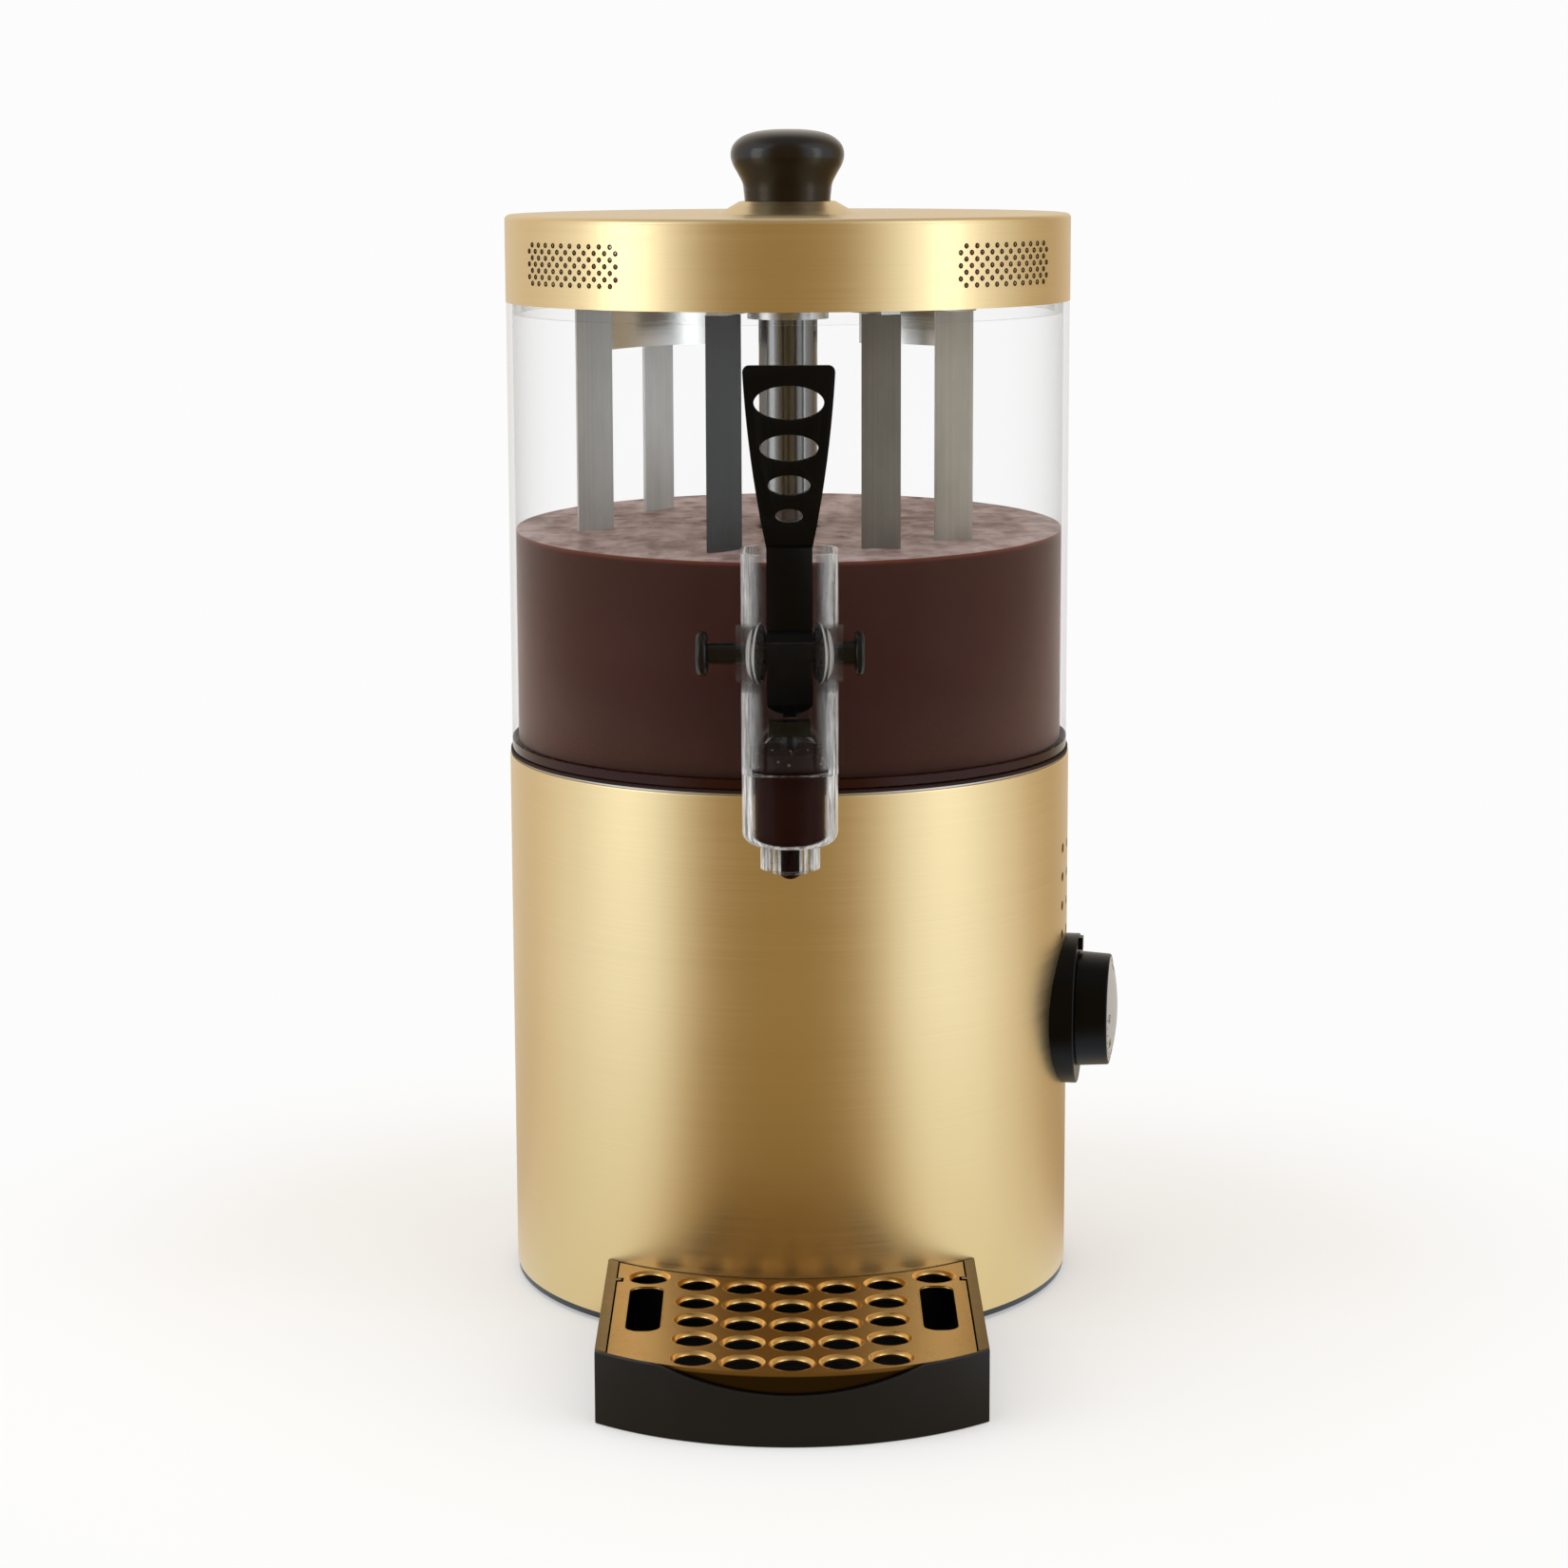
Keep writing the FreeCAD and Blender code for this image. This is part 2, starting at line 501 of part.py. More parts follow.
def make_drive():
    """The shaft with its hexagonal key, and the coupling above the gearbox."""
    foot = f"({GEARBOX_TOP} - shaft_seat + running_gap)"
    key_foot = f"({HUB_FOOT} + fit_gap)"
    node(fuse(cylinder("shaft_radius", f"{key_foot} - {foot}", z=foot),
              hexagon("key_flats", "key_length", key_foot)), "drive_shaft")
    node(tube("coupling_radius", "shaft_radius", "coupling_length", z=f"{PLATE_TOP} + running_gap"),
         "shaft_coupling")


def on_dial_axis(thing):
    """Turn a thing modelled along +Z so that it points out along the dial's axis."""
    turn = FreeCAD.Rotation(Z, size("dial_azimuth") - 90) * ALONG_X
    thing.Placement = FreeCAD.Placement(FreeCAD.Vector(0, 0, size("dial_height")), turn)
    return thing


# Dial and thermostat
def dial_rod(radius, start, length):
    """A cylinder on the dial's axis, from a distance off the drum's axis outwards."""
    return cylinder(radius, length, f"({start}) * sin(dial_azimuth)", f"-({start}) * cos(dial_azimuth)",
                    "dial_height", FreeCAD.Rotation(Z, size("dial_azimuth") - 90) * ALONG_X)


def make_dial_bezel():
    """The escutcheon that hugs the drum, with its hub through the wall and a pointer tab at its top."""
    disc = dial_rod("bezel_radius", "shell_radius - bezel_hub_radius",
                    "bezel_front - shell_radius + bezel_hub_radius")
    document.recompute()
    made = document.addObject("Part::Fillet", "rounded_disc")
    made.Base = disc
    rims = [index for index, edge in enumerate(disc.Shape.Edges, start=1)
            if isinstance(edge.Curve, Part.Circle)]
    outermost = max(rims, key=lambda index: disc.Shape.Edges[index - 1].Curve.Center.x)
    made.Edges = [(outermost, size("bezel_edge"), size("bezel_edge"))]
    drum = cylinder("shell_radius", f"{SHELL_TOP} * 2")
    hub = dial_rod("bezel_hub_radius", "thermostat_face", "bezel_front - thermostat_face - bezel_edge")
    bore = dial_rod("bezel_hub_bore", "thermostat_face", "bezel_front")
    tab = Part.makeBox(size("tab_height"), size("tab_width"), size("tab_proud + bezel_edge"), FreeCAD.Vector(
        -size("bezel_radius - bezel_edge"), -size("tab_width") / 2, size("bezel_front - bezel_edge")))
    return node(cut(fuse(cut(made, drum), hub, on_dial_axis(solid(tab))), bore), "dial_bezel")


def make_hub_nut():
    """The ring nut that clamps the bezel from inside the drum."""
    nut = cylinder("hub_nut_radius", "hub_nut_length")
    hole = cylinder("bezel_hub_radius", "hub_nut_length")
    made = cut(nut, hole)
    inner = size("shell_radius - shell_wall")
    seat = math.sqrt(inner ** 2 - size("hub_nut_radius") ** 2) - size("hub_nut_length")
    on_dial_axis(made)
    made.Placement.Base = made.Placement.Base + around(size("dial_azimuth"), seat)
    return node(made, "bezel_nut")


def make_thermostat():
    """The thermostat's case behind the dial, its spindle seat towards the front."""
    case = Part.makeBox(size("thermostat_width"), size("thermostat_width"), size("thermostat_depth"))
    case.translate(FreeCAD.Vector(-size("thermostat_width") / 2, -size("thermostat_width") / 2,
                                  size("thermostat_face - thermostat_depth")))
    seat = Part.makeCylinder(size("spindle_radius + shaft_clearance"), size("spindle_seat"),
                             FreeCAD.Vector(0, 0, size("thermostat_face - spindle_seat")))
    return node(on_dial_axis(solid(case.cut(seat))), "thermostat")


def make_probe():
    """The thermostat's bulb in the bath and the capillary that leads from it to the case."""
    reach, bend, radius = size("probe_circle"), size("capillary_bend"), size("capillary_radius")
    azimuth, level = size("dial_azimuth"), size("dial_height")
    foot = size(f"{TANK_FLOOR} - probe_gland_height")
    back = size("thermostat_face - thermostat_depth")
    inset = bend * (1 - math.cos(math.pi / 4))
    middle = around(azimuth, reach + inset, level + inset)
    start, end = around(azimuth, reach, level + bend), around(azimuth, reach + bend, level)
    path = Part.Wire([
        Part.makeLine(around(azimuth, reach, foot), start),
        Part.Arc(start, middle, end).toShape(),
        Part.makeLine(end, around(azimuth, back, level))])
    section = Part.Wire(Part.makeCircle(radius, around(azimuth, reach, foot), Z))
    capillary = path.makePipeShell([section], True, True)
    bulb = Part.makeCylinder(size("probe_radius"), size("probe_length"), around(azimuth, reach, foot))
    return node(solid(bulb.fuse(capillary)), "thermostat_probe")


def make_probe_gland():
    """The nut that seals the bulb under the bath."""
    place = around(size("dial_azimuth"), size("probe_circle"), size(f"{TANK_FLOOR} - probe_gland_height"))
    ring = Part.makeCylinder(size("probe_gland_radius"), size("probe_gland_height"), place)
    bore = Part.makeCylinder(size("probe_radius + fit_gap"), size("probe_gland_height"), place)
    return node(solid(ring.cut(bore)), "probe_gland")


def make_dial():
    """The dial: knob, domed cap and the spindle that turns in the thermostat."""
    inner, outer = size("dial_radius"), size("dial_radius - dial_taper")
    foot = size("bezel_front + dial_gap")
    knob = Part.makeCone(inner, outer, size("dial_length"), FreeCAD.Vector(0, 0, foot))
    rims = [edge for edge in knob.Edges
            if isinstance(edge.Curve, Part.Circle) and edge.Curve.Center.z > foot + size("dial_edge")]
    knob = knob.makeFillet(size("dial_edge"), rims)
    bore = Part.makeCylinder(size("spindle_radius"), size("spindle_grip"), FreeCAD.Vector(0, 0, foot))
    top = foot + size("dial_length")
    node(on_dial_axis(solid(knob.cut(bore))), "dial_knob")
    rim = outer - size("cap_inset")
    ball = (rim ** 2 + size("cap_rise") ** 2) / (2 * size("cap_rise"))
    dome = Part.makeSphere(ball, FreeCAD.Vector(0, 0, top + size("cap_rise") - ball))
    kept = Part.makeCylinder(rim, size("cap_rise + overcut"), FreeCAD.Vector(0, 0, top))
    node(on_dial_axis(solid(dome.common(kept))), "dial_cap")
    start = size("thermostat_face - spindle_seat + running_gap")
    spindle = Part.makeCylinder(size("spindle_radius"), foot + size("spindle_grip") - start,
                                FreeCAD.Vector(0, 0, start))
    node(on_dial_axis(solid(spindle)), "dial_spindle")


# Cord inlet
def make_cord_inlet():
    """Gland and nut for the mains cord at the rear, and the terminal block inside."""
    level, bore = size("cord_height"), size("cord_bore")
    wall = size("shell_radius")
    start = wall - size("cord_gland_inner")
    length = size("cord_gland_inner + cord_gland_proud")
    tail = Part.makeCylinder(size("cord_gland_radius"), length, FreeCAD.Vector(0, start, level), Y)
    flange = Part.makeCylinder(size("cord_gland_flange"), size("cord_gland_proud"),
                               FreeCAD.Vector(0, wall, level), Y)
    hole = Part.makeCylinder(bore, length, FreeCAD.Vector(0, start, level), Y)
    node(solid(tail.fuse(flange).cut(hole).removeSplitter()), "cord_gland")
    inner = math.sqrt(size("shell_radius - shell_wall") ** 2 - size("cord_nut_radius") ** 2)
    place = FreeCAD.Vector(0, inner - size("cord_nut_length"), level)
    nut = Part.makeCylinder(size("cord_nut_radius"), size("cord_nut_length"), place, Y)
    node(solid(nut.cut(Part.makeCylinder(size("cord_gland_radius"), size("cord_nut_length"), place, Y))),
         "cord_nut")
    block = box("terminal_width", "terminal_depth", "terminal_height", y="terminal_place", z=PAN_TOP)
    node(block, "terminal_block")


# Bowl
def make_bowl():
    """The clear bowl with the moulded boss that the tap plugs into."""
    inner = "(bowl_radius - bowl_wall)"
    body = rounded(turned("bowl_blank", [
        ("column_radius + fit_gap", BOWL_FOOT), ("bowl_radius", BOWL_FOOT), ("bowl_radius", LID_FOOT),
        (inner, LID_FOOT), (inner, BOWL_INSIDE), ("column_radius + fit_gap", BOWL_INSIDE)]),
        "bowl_edge", ("bowl_radius", BOWL_FOOT))
    front = "(bowl_radius - bowl_wall / 2)"
    boss = cylinder("boss_radius", f"boss_front - {front}", 0, "-boss_front", "spigot_height", ALONG_Y)
    socket = cylinder("spigot_radius + fit_gap", "boss_front - spigot_socket",
                      0, "-boss_front", "spigot_height", ALONG_Y)
    way = cylinder("spigot_bore", "boss_front - bowl_radius + 3 * bowl_wall",
                   0, "-boss_front", "spigot_height", ALONG_Y)
    return node(cut(fuse(body, boss), socket, way), "bowl")


def make_column():
    """The fixed tube in the bowl's middle that the shaft runs up through, with gasket, nut and washer."""
    flange_foot = f"({BOWL_INSIDE} + washer_height)"
    node(turned("centre_tube", [
        ("column_bore", f"{BOWL_FOOT} - column_tail"), ("column_radius", f"{BOWL_FOOT} - column_tail"),
        ("column_radius", flange_foot), ("column_flange", flange_foot),
        ("column_flange", f"{flange_foot} + column_flange_height"),
        ("column_radius", f"{flange_foot} + column_flange_height"), ("column_radius", COLUMN_TOP),
        ("column_bore", COLUMN_TOP)]), "centre_tube")
    node(tube("column_flange", "column_radius", "washer_height", z=BOWL_INSIDE), "centre_gasket")
    nut_foot = f"({BOWL_FOOT} - column_tail)"
    node(cut(hexagon("2 * column_nut_radius", "column_tail", nut_foot),
             cylinder("column_radius", "column_tail", z=nut_foot)), "centre_nut")
    node(tube("column_radius", "column_bore", "washer_height", z=COLUMN_TOP), "thrust_washer")


# Stirrer and drink
def blade_shape(azimuth, twist, foot, extra=0):
    """One flat blade that hangs from its arm, faced forwards and then twisted."""
    width, thickness = size("blade_width") + 2 * extra, size("blade_thickness") + 2 * extra
    corner = FreeCAD.Vector(-width / 2, -thickness / 2, 0)
    blade = Part.makeBox(width, thickness, size(ARM_FOOT) - foot, corner)
    blade.rotate(FreeCAD.Vector(), Z, twist)
    blade.translate(around(azimuth, size("blade_circle"), foot))
    return blade


def make_stirrer():
    """Sleeve, hub with arms, blades and the two arcs that tie the blades at the rear."""
    node(tube("sleeve_radius", "sleeve_radius - sleeve_wall", f"{HUB_FOOT} - sleeve_foot", z="sleeve_foot"),
         "stirrer_sleeve")
    hub = cylinder("hub_radius", "hub_height", z=HUB_FOOT)
    arms = []
    reach = size("blade_circle + blade_width / 2")
    for azimuth in [blade[1] for blade in BLADE_ANGLES] + list(BARE_ARM_AZIMUTHS):
        arm = Part.makeBox(size("arm_width"), reach, size("arm_thickness"),
                           FreeCAD.Vector(-size("arm_width") / 2, -reach, 0))
        arm.rotate(FreeCAD.Vector(), Z, azimuth)
        arm.translate(FreeCAD.Vector(0, 0, size(ARM_FOOT)))
        arms.append(solid(arm))
    socket = hexagon("key_flats + 2 * shaft_clearance", "key_length + 3 * fit_gap", HUB_FOOT)
    node(cut(fuse(hub, *arms), socket), "stirrer_hub")
    for name, azimuth, twist in BLADE_ANGLES:
        node(solid(blade_shape(azimuth, twist, size("blade_foot"))), f"stirrer_blade_{name}")
    outer, foot = size("blade_circle"), size(f"{ARM_FOOT} - arc_height")
    inner = outer - size("arc_thickness")
    bands = []
    for start, end in ARC_AZIMUTHS:
        ring = Part.makeCylinder(outer, size("arc_height"), FreeCAD.Vector(0, 0, foot), Z, end - start)
        ring = ring.cut(Part.makeCylinder(inner, size("arc_height"), FreeCAD.Vector(0, 0, foot)))
        ring.rotate(FreeCAD.Vector(), Z, start - 90)
        for _, azimuth, twist in BLADE_ANGLES:
            ring = ring.cut(blade_shape(azimuth, twist, size("blade_foot")))
        bands.append(ring)
    node(solid(Part.makeCompound(bands)), "stirrer_arcs")


def make_drink():
    """The hot chocolate, which the stirrer carries round inside the bowl."""
    wall = "(bowl_radius - bowl_wall - running_gap)"
    bore = "(sleeve_radius + fit_gap)"
    recess = "(column_flange + running_gap)"
    step = f"({BOWL_INSIDE} + washer_height + column_flange_height + running_gap)"
    floor = f"({BOWL_INSIDE} + running_gap)"
    body = turned("drink_blank", [
        (recess, floor), (wall, floor), (wall, "drink_height"), (bore, "drink_height"),
        (bore, step), (recess, step)])
    blades = [solid(blade_shape(azimuth, twist, size("blade_foot"))) for _, azimuth, twist in BLADE_ANGLES]
    return node(cut(body, *blades), "hot_chocolate")


# Lid
def make_lid():
    """The gold lid with its pressed cone, four vent patches, knob and inner ring."""
    inner = "(lid_radius - lid_wall)"
    ceiling = f"({LID_TOP} - lid_wall)"
    body = rounded(turned("lid_blank", [
        (inner, LID_FOOT), ("lid_radius", LID_FOOT), ("lid_radius", LID_TOP), ("boss_foot_radius", LID_TOP),
        ("boss_top_radius", KNOB_FOOT), ("knob_bolt_radius + fit_gap", KNOB_FOOT),
        ("knob_bolt_radius + fit_gap", f"{KNOB_FOOT} - lid_wall"),
        ("boss_top_radius - lid_wall", f"{KNOB_FOOT} - lid_wall"), ("boss_foot_radius - lid_wall", ceiling),
        (inner, ceiling)]), "lid_edge", ("lid_radius", LID_TOP))
    columns, rows = int(size("lid_vent_columns")), int(size("lid_vent_rows"))
    step, middle = size("lid_vent_step"), size(f"{LID_FOOT} + lid_vent_height")
    places = []
    for patch in (-1, 1):
        for row in range(rows):
            count = columns - (row + 1) % 2
            for column in range(count):
                azimuth = patch * size("lid_vent_azimuth") + (column - (count - 1) / 2) * step
                places.append((azimuth, middle + (row - (rows - 1) / 2) * size("lid_vent_pitch")))
    places += [(azimuth + 180, height) for azimuth, height in places]
    start = size("lid_radius - 3 * lid_wall")
    vents = radial_rods(places, size("lid_vent_radius"), start, size("4 * lid_wall"))
    node(cut(body, vents), "lid")
    lip = "(bowl_radius - bowl_wall - running_gap)"
    node(turned("lid_ring", [
        (f"{lip} - lid_ring_width", f"{LID_FOOT} - lid_ring_drop"), (lip, f"{LID_FOOT} - lid_ring_drop"),
        (lip, f"{LID_FOOT} + fit_gap"), (f"{inner} - fit_gap", f"{LID_FOOT} + fit_gap"),
        (f"{inner} - fit_gap", f"{LID_FOOT} + lid_ring_flange"),
        (f"{lip} - lid_ring_width", f"{LID_FOOT} + lid_ring_flange")]), "lid_ring")
    head_foot = f"({KNOB_FOOT} - lid_wall - knob_washer_height - knob_bolt_head_height)"
    node(tube("knob_washer_radius", "knob_bolt_radius + fit_gap", "knob_washer_height",
              z=f"{KNOB_FOOT} - lid_wall - knob_washer_height"), "knob_washer")
    node(fuse(cylinder("knob_bolt_head_radius", "knob_bolt_head_height", z=head_foot),
              cylinder("knob_bolt_radius", "knob_bolt_length", z=f"{head_foot} + knob_bolt_head_height")),
         "knob_screw")


def make_knob():
    """The turned lid knob: a neck that flares into a mushroom head."""
    foot = size(KNOB_FOOT)
    neck, waist, head = size("knob_neck_radius"), size("knob_waist_radius"), size("knob_head_radius")
    spots = [FreeCAD.Vector(x, 0, foot + z) for x, z in (
        (neck, 0), (waist, size("knob_waist_height")), (head, size("knob_head_height")),
        (size("knob_shoulder_radius"), size("knob_shoulder_height")), (0, size("knob_height")))]
    side = Part.BSplineCurve()
    side.interpolate(spots, InitialTangent=Z, FinalTangent=-X)
    base = Part.Wire([side.toShape(), Part.makeLine(spots[-1], FreeCAD.Vector(0, 0, foot)),
                      Part.makeLine(FreeCAD.Vector(0, 0, foot), spots[0])])
    knob = Part.Face(base).revolve(FreeCAD.Vector(), Z, 360)
    depth = size("knob_bolt_length - knob_washer_height - lid_wall")
    bore = Part.makeCylinder(size("knob_bolt_radius"), depth, FreeCAD.Vector(0, 0, foot))
    return node(solid(knob.cut(bore)), "lid_knob")


# Tap
def across(radius, start, end, height="pivot_height"):
    """A cylinder along X through the lever's pivot, from one X to another."""
    return cylinder(radius, f"({end}) - ({start})", start, "-tap_reach", height, ALONG_X)


def make_tap_body():
    """The clear tap: a slotted housing on a round chamber, with nozzle, spout, spigot and pivot bosses."""
    front = "-tap_reach"
    inner_width, inner_depth = "(tap_width - 2 * tap_wall)", "(tap_depth - 2 * tap_wall)"
    housing = upright_rounded("tap_width", "tap_depth", "tap_height - chamber_height",
                              "tap_corner", CHAMBER_TOP, front)
    hollow = upright_rounded(inner_width, inner_depth, "tap_height - chamber_height + overcut",
                             "tap_corner - tap_wall", CHAMBER_TOP, front)
    blank = cylinder("chamber_radius", "chamber_height", 0, front, "tap_foot")
    document.recompute()
    chamber = document.addObject("Part::Fillet", "chamber")
    chamber.Base = blank
    chamber.Edges = [(index, size("chamber_round"), size("chamber_round"))
                     for index, edge in enumerate(blank.Shape.Edges, start=1)
                     if edge.BoundBox.ZMax < size("tap_foot + overcut")]
    bore = cylinder("chamber_bore", "chamber_height", 0, front, "tap_foot + chamber_floor")
    skirt = tube("nozzle_radius", "nozzle_radius - nozzle_wall", "nozzle_length + chamber_floor", 0, front,
                 "tap_foot - nozzle_length")
    spout = cylinder("spout_radius", "spout_length + chamber_floor", 0, front, "tap_foot - spout_length")
    outlet = cylinder("spout_bore", "spout_length + 3 * chamber_floor", 0, front, "tap_foot - spout_length")
    back = "(tap_reach - tap_depth / 2)"
    collar_front = "(boss_front + collar_length)"
    collar = cylinder("collar_radius", f"{back} + tap_wall / 2 - {collar_front}",
                      0, f"-{back} - tap_wall / 2", "spigot_height", ALONG_Y)
    spigot = cylinder("spigot_radius", f"{back} + tap_wall / 2 - spigot_socket - fit_gap", 0,
                      f"-{back} - tap_wall / 2", "spigot_height", ALONG_Y)
    way = cylinder("spigot_bore", "tap_reach - spigot_socket", 0, front, "spigot_height", ALONG_Y)
    ears = [across("pivot_boss_radius", "-pivot_boss_reach", "-tap_width / 2 + tap_wall"),
            across("pivot_boss_radius", "tap_width / 2 - tap_wall", "pivot_boss_reach")]
    pin = across("pin_radius + shaft_clearance", "-pivot_boss_reach - overcut", "pivot_boss_reach + overcut")
    slot = box("slot_width", "tap_depth / 2", f"{TAP_TOP} - slot_foot + overcut",
               y=f"{front} - tap_depth / 2", z="slot_foot")
    outside = fuse(housing, chamber, skirt, spout, collar, spigot, *ears)
    return node(cut(outside, hollow, bore, outlet, way, pin, slot), "tap_body")


def make_tap_parts():
    """Gasket, pivot pin with its cap, the discs beside the lever, and the drink that stands in the tap."""
    node(tube("collar_radius", "spigot_radius + fit_gap", "collar_length", 0, "-boss_front - collar_length",
              "spigot_height", ALONG_Y), "tap_gasket")
    reach = "(pivot_boss_reach + fit_gap)"
    head = across("pin_head_radius", "-pin_left", "-pin_left + pin_head_length")
    shaft = across("pin_radius", "-pin_left + pin_head_length", "pin_right - pin_head_length - pin_cap_grip")
    document.recompute()
    node(fuse(soften(head, "pin_head_round"), shaft), "pivot_pin")
    cap_head = across("pin_head_radius", "pin_right - pin_head_length + pin_neck_step", "pin_right")
    neck = across("pin_radius + pin_neck_step", reach, "pin_right - pin_head_length + pin_neck_step")
    seat = across("pin_radius", reach, "pin_right - pin_head_length - pin_cap_grip")
    document.recompute()
    node(cut(fuse(soften(cap_head, "cap_head_round"), neck), seat), "pivot_cap")
    bore = "pin_radius + shaft_clearance"
    steel, black = [], []
    for side in (-1, 1):
        near = "(stem_width / 2 + fit_gap)"
        for index in (0, 1):
            start = f"({near} + {index} * disc_step)"
            steel.append(disc(side, start, "disc_thickness", "disc_radius", bore))
            black.append(disc(side, f"({start} + disc_thickness + fit_gap)",
                              "disc_step - disc_thickness - 2 * fit_gap", "disc_radius - spacer_inset", bore))
    node(fuse(*steel), "pivot_washers")
    node(fuse(*black), "pivot_spacers")


def disc(side, start, thickness, radius, bore):
    """One washer on the pivot, on the left (-1) or right (1) of the lever."""
    low, high = (start, f"{start} + {thickness}") if side > 0 else (f"-({start} + {thickness})", f"-{start}")
    return cut(across(radius, low, high), across(bore, low, high))


def soften(thing, radius):
    """Round every circular edge of a thing."""
    made = document.addObject("Part::Fillet", "soft")
    made.Base = thing
    made.Edges = [(index, size(radius), size(radius)) for index, edge in enumerate(thing.Shape.Edges, start=1)
                  if isinstance(edge.Curve, Part.Circle)]
    return made


def make_tap_drink():
    """The drink that stands in the tap and its spigot, and the drop in the spout."""
    front = "-tap_reach"
    foot = "(tap_foot + chamber_floor + fit_gap)"
    low = cylinder("chamber_bore - fit_gap", f"{CHAMBER_TOP} - {foot}", 0, front, foot)
    skin = cylinder("drink_skin_radius", "drink_skin", 0, front, f"{CHAMBER_TOP} + fit_gap")
    join = cylinder("chamber_bore - fit_gap", "2 * fit_gap", 0, front, f"{CHAMBER_TOP} - fit_gap")
    start = "(bowl_radius - bowl_wall / 2)"
    way = cylinder("spigot_bore - fit_gap", f"tap_reach - {start}", 0, front, "spigot_height", ALONG_Y)
    wide = cylinder("seal_radius + 5 * fit_gap", "2 * seal_height", 0, front, foot)
    narrow = cylinder("rod_radius + running_gap", "chamber_height + drink_skin + overcut", 0, front, foot)
    node(cut(fuse(low, join, skin, way), wide, narrow), "tap_drink")
    radius, length = size("spout_bore - fit_gap"), size("spout_length + chamber_floor - fit_gap")
    base = FreeCAD.Vector(0, -size("tap_reach"), size("tap_foot - spout_length"))
    drop = Part.makeCylinder(radius, length, base)
    ball = (radius ** 2 + size("drip_length") ** 2) / (2 * size("drip_length"))
    bead = Part.makeSphere(ball, base + FreeCAD.Vector(0, 0, ball - size("drip_length")))
    below = Part.makeCylinder(radius, size("drip_length"), base - FreeCAD.Vector(0, 0, size("drip_length")))
    node(solid(drop.fuse(bead.common(below)).removeSplitter()), "spout_drink")


# Lever and plunger
def make_lever():
    """The lever: handle plate with four holes, stem, pivot hub and the cam foot that presses the plunger."""
    level, reach = size("pivot_height"), size("tap_reach")
    low, high = size("handle_foot"), size("handle_top")
    half_low, half_high = size("stem_width") / 2, size("handle_width") / 2
    corner = size("handle_corner")
    middle = ((half_low + half_high) / 2 + size("handle_bulge"), (low + high) / 2)
    right = Part.Arc(FreeCAD.Vector(half_low, 0, low), FreeCAD.Vector(middle[0], 0, middle[1]),
                     FreeCAD.Vector(half_high, 0, high)).toShape()
    left = Part.Arc(FreeCAD.Vector(-half_high, 0, high), FreeCAD.Vector(-middle[0], 0, middle[1]),
                    FreeCAD.Vector(-half_low, 0, low)).toShape()
    outline = Part.Wire([right, Part.makeLine(right.lastVertex().Point, left.firstVertex().Point), left,
                         Part.makeLine(left.lastVertex().Point, right.firstVertex().Point)])
    plate = Part.Face(outline).extrude(FreeCAD.Vector(0, size("handle_thickness"), 0))
    plate.translate(FreeCAD.Vector(0, -size("handle_thickness") / 2, 0))
    tops = [edge for edge in plate.Edges
            if edge.BoundBox.ZMin > high - corner and edge.BoundBox.YLength > corner]
    plate = plate.makeFillet(corner, tops)
    thickness = size("handle_thickness")
    for height, width, tall in HANDLE_HOLES:
        ellipse = Part.Ellipse(FreeCAD.Vector(0, -thickness, level + height), width / 2, tall / 2)
        ellipse.Axis = Y
        ellipse.XAxis = X
        hole = Part.Face(Part.Wire(ellipse.toShape())).extrude(FreeCAD.Vector(0, 2 * thickness, 0))
        plate = plate.cut(hole)
    stem = Part.makeBox(size("stem_width"), size("stem_depth"), low + size("overcut") - level,
                        FreeCAD.Vector(-half_low, -size("stem_depth") / 2, level))
    hub = Part.makeCylinder(size("lever_hub_radius"), size("stem_width"),
                            FreeCAD.Vector(-half_low, 0, level), X)
    cam = [FreeCAD.Vector(0, y, level + z) for y, z in CAM_OUTLINE + CAM_OUTLINE[:1]]
    side = Part.Face(Part.makePolygon(cam))
    foot = side.extrude(FreeCAD.Vector(size("stem_width"), 0, 0))
    foot.translate(FreeCAD.Vector(-half_low, 0, 0))
    drum = Part.makeCylinder(size("foot_round"), 4 * size("foot_round"),
                             FreeCAD.Vector(0, -2 * size("foot_round"), level - size("foot_round_drop")), Y)
    rib = side.extrude(FreeCAD.Vector(size("rib_width"), 0, 0))
    rib.translate(FreeCAD.Vector(-size("rib_width") / 2, 0, 0))
    pin = Part.makeCylinder(size("pin_radius + shaft_clearance"), size("stem_width + 2 * overcut"),
                            FreeCAD.Vector(-half_low - size("overcut"), 0, level), X)
    lever = plate.fuse([stem, hub, foot.common(drum), rib]).cut(pin).removeSplitter()
    lever.translate(FreeCAD.Vector(0, -reach, 0))
    return node(solid(lever), "lever")


def make_plunger():
    """The plunger that the lever lifts: block and rod, with the rubber seal on the spout."""
    front = "-tap_reach"
    seat = "(tap_foot + chamber_floor + fit_gap)"
    block_foot = f"({BLOCK_TOP} - block_height)"
    rod_foot = f"({seat} + seal_height / 2)"
    node(fuse(box("block_width", "block_depth", "block_height", y=front, z=block_foot),
              cylinder("rod_radius", f"{block_foot} - {rod_foot}", 0, front, rod_foot)), "plunger")
    node(cut(cone("seal_radius", "seal_nose_radius", "seal_height", 0, front, seat),
             cylinder("rod_radius", "seal_height", 0, front, rod_foot)), "plunger_seal")


# Drip tray and grid
def tray_plan(inset, front_inset, height, z):
    """A slab between the drum and the tray's bowed front, drawn in from its sides and front."""
    slab = box(f"2 * (tray_half_width - ({inset}))", "tray_front", height, y="-tray_front / 2", z=z)
    bow = cylinder(f"tray_arc - ({front_inset})", height, 0, TRAY_ARC_CENTRE, z)
    return common(slab, bow)


